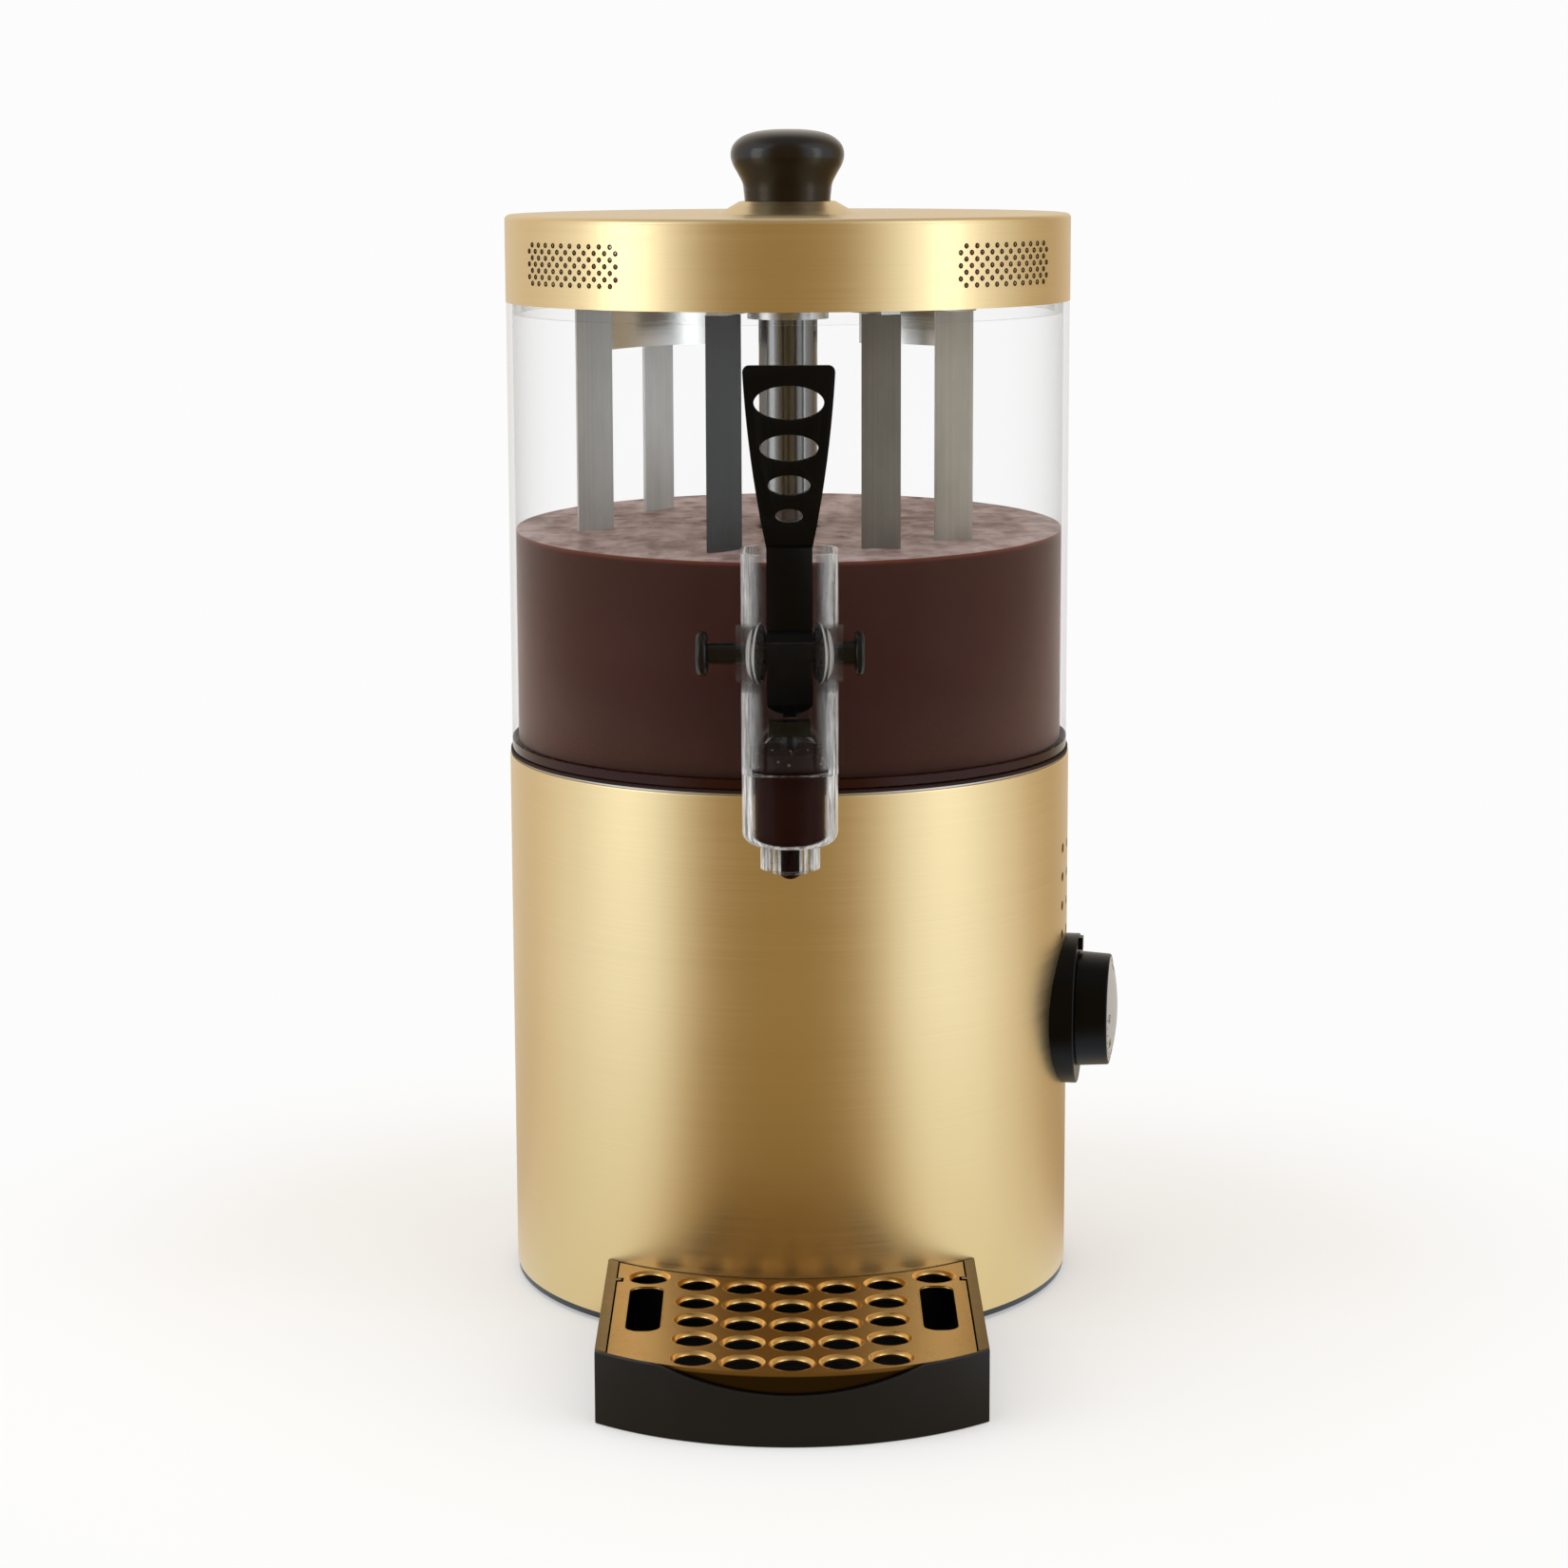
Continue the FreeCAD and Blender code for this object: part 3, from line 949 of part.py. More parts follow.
def make_tray():
    """The black tray: bowed front with a scoop, side walls with a ledge, low rear wall along the drum."""
    clear = "(shell_radius + tray_gap)"
    height = "(tray_height - tray_foot)"
    outer = cut(tray_plan("0", "0", height, "tray_foot"), cylinder(clear, "tray_height * 2"))
    well = cut(tray_plan("tray_side + ledge_width", "tray_wall", "tray_height", "tray_foot + tray_floor"),
               cylinder(f"{clear} + tray_wall", "tray_height * 2"))
    shelf = cut(tray_plan("tray_side", "tray_wall", "tray_height", "ledge_height"),
                cylinder(f"{clear} + tray_wall", "tray_height * 2"))
    rear = cylinder(f"{clear} + 2 * tray_wall", "tray_height", z="tray_rear_height")
    rail_foot = "(tray_height - rail_height)"
    ends = common(box("2 * tray_half_width", "2 * tray_front", "tray_height", z=rail_foot),
                  cut(cylinder("2 * tray_front", "tray_height", z=rail_foot),
                      cylinder("tray_arc - tray_wall", "tray_height", 0, TRAY_ARC_CENTRE, rail_foot)))
    radius = "((scoop_width / 2) ^ 2 + scoop_depth ^ 2) / (2 * scoop_depth)"
    scoop = cylinder(radius, "tray_front / 4", 0, "-tray_front - overcut",
                     f"tray_height - scoop_depth + {radius}", ALONG_Y)
    side_tops = [box("tray_side", "tray_front", "tray_height", f"{side} * (tray_half_width - tray_side / 2)",
                     "-tray_front / 2", rail_foot) for side in (-1, 1)]
    lowered = cut(fuse(*side_tops), ends)
    return node(cut(outer, well, shelf, rear, scoop, lowered), "tray")


def make_rails():
    """The two gold rails that cap the tray's side walls, each with a nib that keys the grid."""
    foot = "(tray_height - rail_height)"
    rails = []
    for side in (-1, 1):
        bar = box("tray_side", "tray_front", "rail_height", f"{side} * (tray_half_width - tray_side / 2)",
                  "-tray_front / 2", foot)
        nib = box("tray_side / 2 + nib_reach", "nib_length", "rail_height",
                  f"{side} * (tray_half_width - 3 * tray_side / 4 - nib_reach / 2)", "-nib_front", foot)
        inside = cylinder("tray_arc - tray_wall", "rail_height", 0, TRAY_ARC_CENTRE, foot)
        drum = cylinder("shell_radius + tray_gap", "2 * tray_height")
        rails.append(cut(common(fuse(bar, nib), inside), drum))
    return node(fuse(*rails), "tray_rails")


def dimple_places():
    """Centres of the grid's round holes, in rows that follow the bowed front."""
    arc = size("tray_arc")
    places = []
    for row in range(int(size("rows"))):
        for column in range(int(size("columns"))):
            x = (column - (size("columns") - 1) / 2) * size("column_pitch")
            y = -size("first_row") - row * size("row_pitch") + arc - math.sqrt(arc ** 2 - x ** 2)
            places.append((x, y))
    return places + [(side * size("corner_hole_side"), -size("corner_hole_front")) for side in (-1, 1)]


def slot_shape(grow, low, high):
    """Both finger slots as one tool, each a bar with rounded corners."""
    bars = []
    for side in (-1, 1):
        width, length = size("slot_breadth") + 2 * grow, size("slot_length") + 2 * grow
        corner = FreeCAD.Vector(side * size("slot_side") - width / 2, -size("slot_middle") - length / 2, low)
        bar = Part.makeBox(width, length, high - low, corner)
        upright = [edge for edge in bar.Edges if abs(edge.tangentAt(edge.FirstParameter).z) > UPRIGHT]
        bars.append(bar.makeFillet(size("slot_corner"), upright))
    return bars


def make_grid():
    """The gold grid: a plate with dimpled holes, two finger slots and a skirt that stands on the ledge."""
    top, thick = size("grid_top"), size("grid_thickness")
    edge = "(tray_side + grid_side_gap)"
    bow = "(tray_wall + grid_front_gap)"
    plate = tray_plan(edge, bow, "grid_thickness", "grid_top - grid_thickness")
    wall_foot = "(ledge_height + fit_gap)"
    wall_height = f"(grid_top - grid_thickness / 2 - {wall_foot})"
    wall = cut(tray_plan(edge, bow, wall_height, wall_foot),
               tray_plan(f"{edge} + skirt_thickness", f"{bow} + skirt_thickness", wall_height, wall_foot))
    drum = cylinder("shell_radius + 2 * tray_gap", "2 * tray_height")
    rear = cylinder("shell_radius + tray_gap + 2 * tray_wall + running_gap", "tray_rear_height")
    depth, wall_size = size("dimple_depth"), size("dimple_wall")
    outer, bore = size("dimple_radius"), size("dimple_bore")
    cups, hollows = [], []
    for x, y in dimple_places():
        low = FreeCAD.Vector(x, y, top - depth)
        cups.append(Part.makeCone(bore + wall_size, outer + wall_size, depth, low))
        hollows.append(Part.makeCone(bore, outer, depth, low))
    hollows += slot_shape(0, top - 2 * depth, top + depth)
    cups_tool = solid(Part.makeCompound(cups))
    keep = cylinder("tray_arc - tray_wall - grid_front_gap", "2 * tray_height", 0, TRAY_ARC_CENTRE)
    rims = common(cups_tool, keep)
    notches = [box("2 * nib_reach", "2 * nib_length", "tray_height",
                   f"{side} * (tray_half_width - tray_side - nib_reach / 2)", "-nib_front",
                   "ledge_height - overcut") for side in (-1, 1)]
    body = fuse(plate, wall, rims)
    return node(cut(body, drum, rear, solid(Part.makeCompound(hollows)), *notches), "grid")


make_feet()
make_base_pan()
make_base_shell()
make_base_screws()
make_bowl_seal()
make_water_tank()
make_heating_element()
make_element_glands()
make_motor()
make_drive()
make_dial_bezel()
make_hub_nut()
make_thermostat()
make_probe()
make_probe_gland()
make_dial()
make_cord_inlet()
make_bowl()
make_column()
make_stirrer()
make_drink()
make_lid()
make_knob()
make_tap_body()
make_tap_parts()
make_tap_drink()
make_lever()
make_plunger()
make_tray()
make_rails()
make_grid()

document.recompute()
for thing in document.Objects:
    if "Invalid" in thing.State or "Error" in thing.State:
        raise RuntimeError(f"{thing.Label} failed: {thing.State}")
os.makedirs("parts", exist_ok=True)
for thing in NODES:
    shape = thing.Shape
    if shape.isNull() or not shape.isValid() or not shape.Solids:
        raise RuntimeError(f"{thing.Label} has no valid shape")
    shape.exportStep(f"parts/{thing.Label}.step")
    print(f"{thing.Label}: {len(shape.Solids)} solids, {shape.Volume:.0f} mm3")
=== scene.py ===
"""Hot chocolate dispenser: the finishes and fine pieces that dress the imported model, on a pale studio stage.

Metres, +Z up, front towards -Y, the origin on the drum's axis at counter level.
"""
import math

import bmesh
import bpy
from mathutils import Matrix, Vector, noise


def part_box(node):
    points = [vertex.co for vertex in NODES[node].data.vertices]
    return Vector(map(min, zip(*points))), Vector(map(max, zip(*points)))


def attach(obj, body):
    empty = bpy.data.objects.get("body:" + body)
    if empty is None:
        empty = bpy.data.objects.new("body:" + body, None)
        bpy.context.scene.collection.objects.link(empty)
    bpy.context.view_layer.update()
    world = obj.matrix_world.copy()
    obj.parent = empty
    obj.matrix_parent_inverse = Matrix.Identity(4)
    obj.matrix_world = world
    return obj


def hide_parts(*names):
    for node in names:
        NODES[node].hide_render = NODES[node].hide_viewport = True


bl_info = {
    "name": "Hot Chocolate Dispenser",
    "version": (1, 0, 0),
    "blender": (4, 5, 0),
    "location": "View3D > Sidebar > Dispenser",
    "description": "Dresses the hot chocolate dispenser and sets its studio stage",
    "category": "Object",
}

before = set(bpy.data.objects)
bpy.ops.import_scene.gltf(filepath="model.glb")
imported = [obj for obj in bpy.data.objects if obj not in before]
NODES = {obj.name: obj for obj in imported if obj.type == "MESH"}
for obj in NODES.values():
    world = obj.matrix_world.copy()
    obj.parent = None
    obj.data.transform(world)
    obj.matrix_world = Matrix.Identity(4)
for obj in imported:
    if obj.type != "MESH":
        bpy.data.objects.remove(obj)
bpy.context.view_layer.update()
FULL_TURN = 2 * math.pi
QUARTER_TURN = math.pi / 2

# Sizes that the model's boxes don't give
LID_BOSS = 0.006  # rise of the cone under the knob
LID_EDGE = 0.0025  # radius of the lid's upper edge
SKIN = 0.00006  # how far a fine piece stands over the surface that it lies on
ALL_WAYS = (60, 60, 60)  # stretch of pressed metal, which has no brush lines
FINE = 0.00001  # grain of polished plastic

# Places worked out from the model's boxes
KNOB_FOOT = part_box("lid_knob")[0].z
LID_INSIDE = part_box("lid")[1].x - 0.0008
LID_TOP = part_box("lid")[1].z - LID_BOSS
LID_SHOULDER = LID_TOP - LID_EDGE
PLATE_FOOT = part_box("grid")[1].z - 0.0012
CHAMBER_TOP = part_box("tap_drink")[1].z - 0.0062
CHAMBER_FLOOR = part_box("tap_drink")[0].z - 0.0008
PIVOT = (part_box("pivot_pin")[0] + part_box("pivot_pin")[1]) / 2

# Brightness of the studio round the machine: degrees from the front, level
STUDIO = ((-180, 0.8), (-150, 0.85), (-135, 0.76), (-120, 0.76), (-105, 0.9), (-77, 0.98), (-50, 1.0), (-41, 0.76),
          (-32, 0.42), (-22, 0.34), (16, 0.34), (27, 0.45), (36, 0.78), (45, 1.07), (72, 1.05), (97, 0.86),
          (112, 0.6), (130, 0.5), (145, 0.7), (165, 0.85), (180, 0.8))

# The knob's half outline in millimetres: radius, height
KNOB_PROFILE = ((21.0, 0), (21.4, 4.2), (22.1, 8.9), (24.4, 13.5), (26.9, 18.1), (27.85, 22.7), (26.6, 27.3),
                (22.5, 31.2), (16.4, 33.5), (8.0, 34.7), (0, 34.9))


# Node trees
class Value:
    """A number in a node tree, with the arithmetic that adds its Math nodes."""

    def __init__(self, tree, socket):
        self.tree = tree
        self.socket = socket

    def math(self, operation, *terms):
        """One Math node on this number and others."""
        return self.tree.add("ShaderNodeMath", dict(enumerate(terms)), operation=operation)

    def __add__(self, other):
        return self.math("ADD", self, other)

    def __sub__(self, other):
        return self.math("SUBTRACT", self, other)

    def __rsub__(self, other):
        return self.math("SUBTRACT", other, self)

    def __mul__(self, other):
        return self.math("MULTIPLY", self, other)

    def __pow__(self, other):
        return self.math("POWER", self, other)

    def sine(self):
        """The sine of an angle."""
        return self.math("SINE", self)

    def cosine(self):
        """The cosine of an angle."""
        return self.math("COSINE", self)

    def within(self, low, high):
        """Where this number lies between two others, from 0 to 1."""
        return self.tree.add("ShaderNodeMapRange", {"Value": self, "From Min": low, "From Max": high})

    __radd__ = __add__
    __rmul__ = __mul__


class Tree:
    """A node tree that is filled through one method."""

    def __init__(self, tree):
        self.tree = tree

    def place(self, kind, sockets=None, **settings):
        """Add a node with its settings and the values or links of its sockets."""
        node = self.tree.nodes.new(kind)
        for name, value in settings.items():
            if name == "stops":
                ramp = node.color_ramp
                while len(ramp.elements) < len(value):
                    ramp.elements.new(1)
                for element, (spot, colour) in zip(ramp.elements, value):
                    element.position = spot
                    element.color = colour
            else:
                setattr(node, name, value)
        for name, value in (sockets or {}).items():
            self.feed(node.inputs[name], value)
        return node

    def feed(self, socket, value):
        """Set or link one socket."""
        if isinstance(value, Value):
            self.tree.links.new(value.socket, socket)
        elif isinstance(value, bpy.types.NodeSocket):
            self.tree.links.new(value, socket)
        else:
            socket.default_value = value

    def add(self, kind, sockets=None, output=0, **settings):
        """Add a node and return one of its outputs."""
        return Value(self, self.place(kind, sockets, **settings).outputs[output])

    def vector(self, x=0.0, y=0.0, z=0.0):
        """A vector from its parts."""
        return self.add("ShaderNodeCombineXYZ", {"X": x, "Y": y, "Z": z})

    def parts(self, vector):
        """The parts of a vector."""
        split = self.place("ShaderNodeSeparateXYZ", {"Vector": vector})
        return [Value(self, output) for output in split.outputs]

    def blend(self, share, first, second):
        """A colour between two others."""
        mix = self.place("ShaderNodeMix", data_type="RGBA")
        self.feed(mix.inputs["Factor"], share)
        for name, colour in (("A", first), ("B", second)):
            self.feed(mix.inputs[name], colour if isinstance(colour, Value) else (*colour, 1))
        return Value(self, mix.outputs["Result"])

    def surface(self, shader, output="Material Output"):
        """Let a shader be the tree's result."""
        self.feed(self.tree.nodes[output].inputs["Surface"], shader)


class Finish(Tree):
    """A material on one Principled shader."""

    def __init__(self, name, colour, **numbers):
        self.material = bpy.data.materials.new(name)
        self.material.use_nodes = True
        super().__init__(self.material.node_tree)
        self.shader = self.tree.nodes["Principled BSDF"]
        self.set("Base Color", (*colour, 1))
        for name, value in numbers.items():
            self.set(name.replace("_", " ").title().replace("Ior", "IOR"), value)

    def set(self, name, value):
        """Set or link one of the shader's sockets."""
        self.feed(self.shader.inputs[name], value)

    def speckle(self, scale, detail=3.0, stretch=(1, 1, 1), rough=0.5):
        """A cloudy number from 0 to 1, on stretched Object coordinates."""
        where = self.add("ShaderNodeTexCoord", output="Object")
        stretched = self.add("ShaderNodeMapping", {"Vector": where, "Scale": stretch})
        return self.add("ShaderNodeTexNoise", {
            "Vector": stretched, "Scale": scale, "Detail": detail, "Roughness": rough})

    def here(self):
        """X, Y and Z of the place on the piece."""
        return self.parts(self.add("ShaderNodeTexCoord", output="Object"))

    def relief(self, height, depth, strength=1.0):
        """Shade the surface as if a number from 0 to 1 raised it by a depth in metres."""
        bump = self.add("ShaderNodeBump", {"Height": height, "Distance": depth, "Strength": strength})
        self.set("Normal", bump)


def shade(*shares):
    """A colour from 0 to 255 steps on the screen, as the shaders take it."""
    return tuple(step / 3294.6 if step <= 10 else ((step / 255 + 0.055) / 1.055) ** 2.4 for step in shares)


def toned(colour, share):
    """A colour made darker or lighter."""
    return tuple(min(1.0, part * share) for part in colour)


# Finishes
def brushed_gold(name, colour, stretch, streak=1.0, roughness=0.34, inside=None, foot=None, painted_foot_shade=0.0):
    """Gold coloured metal with fine brush lines along the directions that aren't stretched.

    Inside a radius, or below a height, it is painted dark, as painted shade for the hollows inside the lid and under
    the grid's plate. It may be painted darker and browner towards its foot, as painted shade.
    """
    gold = Finish(name, colour, metallic=1.0)
    line = gold.speckle(1.0, 4, stretch, rough=0.65)
    broad = gold.speckle(7.0, 3, (1, 1, 0.35))
    share = (line - 0.5) * (0.5 * streak) + (broad - 0.5) * 0.5 + 0.5
    brushed = gold.blend(share, toned(colour, 0.84), toned(colour, 1.12))
    x, y, z = gold.here()
    # painted shade: the lowest part of the gold is painted darker and browner
    if painted_foot_shade:
        brushed = gold.blend(z.within(0.17, 0.0) * painted_foot_shade, brushed,
                             tuple(part * share for part, share in zip(colour, (0.72, 0.62, 0.42))))
    # painted shade: inside the lid and under the grid's plate the gold is painted dark
    if inside or foot:
        if foot:
            painted_hollow_shade = z.within(foot, foot - 0.0008)
        else:
            painted_hollow_shade = (((x * x + y * y) ** 0.5).within(inside, inside - 0.0003)
                      * z.within(LID_SHOULDER, LID_SHOULDER - 0.0003))
        brushed = gold.blend(painted_hollow_shade, brushed, toned(colour, 0.16))
    gold.set("Base Color", brushed)
    gold.set("Roughness", roughness + (line - 0.5) * 0.2 + (broad - 0.5) * 0.08)
    gold.relief(line, 0.00002, 0.3)
    return gold.material


def stained_steel(name, colour, stretch, roughness=0.42):
    """Brushed steel clouded by steam and drink."""
    steel = Finish(name, colour, metallic=0.65)
    line = steel.speckle(1.0, 3, stretch)
    cloud = steel.speckle(20.0, 5, (1, 1, 0.35), rough=0.6)
    share = (cloud - 0.5) * 1.9 + (line - 0.5) * 0.5 + 0.5
    steel.set("Base Color", steel.blend(share, toned(colour, 0.62), toned(colour, 1.35)))
    steel.set("Roughness", roughness + (cloud - 0.5) * 0.3)
    steel.relief(line, 0.00003, 0.25)
    return steel.material


def satin_steel(name, colour, stretch, roughness=0.28):
    """Plain stainless steel with drawn lines."""
    steel = Finish(name, colour, metallic=1.0)
    line = steel.speckle(1.0, 3, stretch)
    steel.set("Base Color", steel.blend(line, toned(colour, 0.82), colour))
    steel.set("Roughness", roughness + (line - 0.5) * 0.2)
    steel.relief(line, 0.00003, 0.25)
    return steel.material


def moulded(name, colour, roughness, grain=0.00004, gloss=0.5):
    """Injection moulded plastic with a fine grain."""
    plastic = Finish(name, colour, specular_ior_level=gloss)
    fine = plastic.speckle(900.0, 2)
    cloud = plastic.speckle(30.0, 3)
    light = tuple(part + 0.001 for part in toned(colour, 1.1))
    plastic.set("Base Color", plastic.blend(cloud, toned(colour, 0.9), light))
    plastic.set("Roughness", roughness + (cloud - 0.5) * 0.1 + (fine - 0.5) * 0.05)
    plastic.relief(fine, grain, 0.35)
    return plastic.material


def clear_shell(name, colour, least, most, base, drink):
    """Thin clear plastic that shows at its edges; a band of its thick base is painted with the drink's colour, as a
    painted view of the drink seen through it.
    """
    clear = Finish(name, colour, ior=1.49, specular_ior_level=0.18)
    edge = clear.add("ShaderNodeLayerWeight", {"Blend": 0.5}, output="Facing")
    haze = clear.speckle(26.0, 4, (1, 1, 0.25))
    z = clear.here()[2]
    # painted view of the drink: here the base is made nearly opaque and drink coloured
    caught = z.within(base + 0.0012, base + 0.0004) * z.within(base - 0.0043, base - 0.0036)
    tinted = z.within(base + 0.0018, base + 0.0013) * z.within(base - 0.0047, base - 0.0044)
    clear.set("Base Color", clear.blend(tinted, colour, drink))
    clear.set("Alpha", (least + edge ** 4.5 * (most - least) + (haze - 0.5) * 0.012) * (1 - caught) + caught * 0.97)
    clear.set("Roughness", 0.06 + haze * 0.05)
    return clear.material


def clear_wall(name, colour):
    """Thick clear plastic whose edges, where its rounded walls turn away, are painted pale and dark in streaks, as
    painted highlights and painted refraction lines.
    """
    clear = Finish(name, colour, ior=1.49)
    facing = clear.add("ShaderNodeLayerWeight", {"Blend": 0.5}, output="Facing")
    x, y, z = clear.here()
    outside, inside = 0.018, 0.0165  # radii between which the chamber's wall ends
    far, near = 0.016, 0.013  # off the pins' height, where the wall is less pale
    high = z.within(CHAMBER_TOP - 0.001, CHAMBER_TOP + 0.001)
    across = (x * x + (y - PIVOT.y) * (y - PIVOT.y)) ** 0.5
    bore = across.within(outside, inside) * z.within(CHAMBER_FLOOR, CHAMBER_FLOOR + 0.0005)
    round_wall = facing.within(0.3, 0.42) * (1 - bore)
    edge = round_wall + (facing.within(0.022, 0.5) ** 0.6 - round_wall) * high
    beside = ((z - PIVOT.z) * (z - PIVOT.z)).within(far ** 2, near ** 2)
    edge = edge * (1 - beside * 0.7)
    streak = clear.speckle(1.0, 4, (420, 420, 45), rough=0.65)
    share = edge * (0.55 + (streak - 0.5) * 3.0)
    clear.set("Base Color", clear.blend(share, toned(colour, 0.05), colour))
    clear.set("Alpha", 0.015 + edge * (0.8 - high * 0.25))
    clear.set("Roughness", 0.06 + streak * 0.08)
    return clear.material


# Shape helpers
def linked(label, data):
    """A new object in the scene."""
    thing = bpy.data.objects.new(label, data)
    bpy.context.scene.collection.objects.link(thing)
    return thing


def piece(label, mesh, material, body, smooth=True, replaced=()):
    """Link a finished mesh as a piece of the machine that moves with a body."""
    thing = linked(label, mesh)
    mesh.materials.clear()
    mesh.materials.append(material)
    mesh.shade_smooth() if smooth else mesh.shade_flat()
    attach(thing, body)
    if replaced:
        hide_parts(*replaced)


def dress(material, *nodes):
    """Give a finish to nodes of the model."""
    for name in nodes:
        for slot in NODES[name].material_slots:
            slot.material = material


def settled(thing):
    """A plain mesh of a thing as its modifiers leave it; the thing itself is taken away."""
    bpy.context.view_layer.update()
    graph = bpy.context.evaluated_depsgraph_get()
    mesh = bpy.data.meshes.new_from_object(thing.evaluated_get(graph))
    bpy.data.objects.remove(thing)
    return mesh


def eased(node, width):
    """A node's mesh with its sharp edges rounded over."""
    level, sharp = 0.5, 32  # degrees between two faces that count as one, and at an edge that is rounded
    mesh = NODES[node].data.copy()
    for name in ("custom_normal", "sharp_edge"):
        if name in mesh.attributes:
            mesh.attributes.remove(mesh.attributes[name])
    shape = bmesh.new()
    shape.from_mesh(mesh)
    bmesh.ops.remove_doubles(shape, verts=shape.verts, dist=0.000005)
    bmesh.ops.dissolve_limit(shape, angle_limit=math.radians(level), verts=shape.verts, edges=shape.edges)
    shape.to_mesh(mesh)
    shape.free()
    thing = linked("eased", mesh)
    bevel = thing.modifiers.new("rounding", "BEVEL")
    bevel.width = width
    bevel.segments = 3
    bevel.limit_method = "ANGLE"
    bevel.angle_limit = math.radians(sharp)
    bevel.harden_normals = True
    bevel.use_clamp_overlap = True
    return settled(thing)


def grown(label, mesh, material, inputs, build):
    """Run a Geometry Nodes tree on a mesh. Inputs are {name: value}, and build returns the last geometry."""
    group = bpy.data.node_groups.new(label, "GeometryNodeTree")
    group.interface.new_socket("Geometry", in_out="INPUT", socket_type="NodeSocketGeometry")
    for name, value in inputs.items():
        kind = "NodeSocketInt" if isinstance(value, int) else "NodeSocketFloat"
        group.interface.new_socket(name, in_out="INPUT", socket_type=kind)
    group.interface.new_socket("Geometry", in_out="OUTPUT", socket_type="NodeSocketGeometry")
    tree = Tree(group)
    entry = tree.place("NodeGroupInput")
    exit_node = tree.place("NodeGroupOutput")
    shape = build(tree, {socket.name: Value(tree, socket) for socket in entry.outputs if socket.name})
    real = tree.add("GeometryNodeRealizeInstances", {"Geometry": shape})
    tree.feed(exit_node.inputs["Geometry"], tree.add("GeometryNodeSetMaterial", {
        "Geometry": real, "Material": material}))
    thing = linked(label, mesh)
    modifier = thing.modifiers.new(label, "NODES")
    modifier.node_group = group
    for item in group.interface.items_tree:
        if item.in_out == "INPUT" and item.name in inputs:
            modifier[item.identifier] = inputs[item.name]
    return settled(thing)


def spots(label, points, angles=None):
    """A mesh of loose points, each with its angle where a copy is to be turned."""
    mesh = bpy.data.meshes.new(label)
    mesh.from_pydata(points, [], [])
    if angles:
        mesh.attributes.new("angle", "FLOAT", "POINT").data.foreach_set("value", angles)
    return mesh


def turned_copies(tree, inputs, shape, tilt=0.0):
    """In a Geometry Nodes tree, a copy of a shape on each point: tilted about X, then turned by its angle."""
    angle = tree.add("GeometryNodeInputNamedAttribute", {"Name": "angle"}, output="Attribute", data_type="FLOAT")
    return tree.add("GeometryNodeInstanceOnPoints", {
        "Points": inputs["Geometry"], "Instance": shape, "Rotation": tree.vector(x=tilt, z=angle)})


def smooth_line(points, steps=6):
    """Points on a smooth curve through others, both ends kept."""
    line = []
    ends = [points[0], *points, points[-1]]
    for before, start, end, after in zip(ends, ends[1:], ends[2:], ends[3:]):
        for step in range(steps):
            t = step / steps
            line.append(tuple(0.5 * (2 * b + (c - a) * t + (2 * a - 5 * b + 4 * c - d) * t ** 2
                                     + (3 * b - 3 * c + d - a) * t ** 3)
                              for a, b, c, d in zip(before, start, end, after)))
    return line + [points[-1]]


def outward(mesh):
    """Merge a mesh's doubled points, drop its loose edges and turn its faces outwards."""
    shape = bmesh.new()
    shape.from_mesh(mesh)
    bmesh.ops.remove_doubles(shape, verts=shape.verts, dist=0.000001)
    bmesh.ops.delete(shape, geom=[edge for edge in shape.edges if not edge.link_faces], context="EDGES")
    bmesh.ops.recalc_face_normals(shape, faces=shape.faces)
    shape.to_mesh(mesh)
    shape.free()
    return mesh


def joined(label, meshes):
    """Several meshes as one."""
    shape = bmesh.new()
    for mesh in meshes:
        shape.from_mesh(mesh)
    mesh = bpy.data.meshes.new(label)
    shape.to_mesh(mesh)
    shape.free()
    return mesh


def hoop(label, sections):
    """A closed strip through sections, which stand round a ring and have their corners in the same order."""
    count = len(sections[0])
    faces = []
    for turn in range(len(sections)):
        here, after = turn * count, (turn + 1) % len(sections) * count
        for index in range(count):
            follow = (index + 1) % count
            faces.append((here + index, after + index, after + follow, here + follow))
    mesh = bpy.data.meshes.new(label)
    mesh.from_pydata([corner for section in sections for corner in section], [], faces)
    return outward(mesh)


def lathe(label, profile, turns, lift=None):
    """A closed shape turned about the vertical axis from (radius, height) corners; lift finds a missing height."""
    sections = []
    for turn in range(turns):
        angle = FULL_TURN * turn / turns
        places = [(radius * math.sin(angle), -radius * math.cos(angle), radius, height) for radius, height in profile]
        sections.append([(x, y, lift(x, y, radius) if height is None else height) for x, y, radius, height in places])
    return hoop(label, sections)


def colour_property(name, description, default):
    """A colour that a user can change."""
    return bpy.props.FloatVectorProperty(name=name, description=description, default=default, subtype="COLOR",
                                         size=3, min=0, max=1)


def length_property(name, description, default):
    """A length that a user can change."""
    return bpy.props.FloatProperty(name=name, description=description, default=default, subtype="DISTANCE",
                                   unit="LENGTH", precision=4)


def angle_property(name, description, degrees):
    """An angle that a user can change."""
    return bpy.props.FloatProperty(name=name, description=description, default=math.radians(degrees),
                                   subtype="ANGLE")


def number_property(name, description, default):
    """A number that a user can change."""
    return bpy.props.FloatProperty(name=name, description=description, default=default)


def count_property(name, description, default, least=1):
    """A count that a user can change."""
    return bpy.props.IntProperty(name=name, description=description, default=default, min=least)


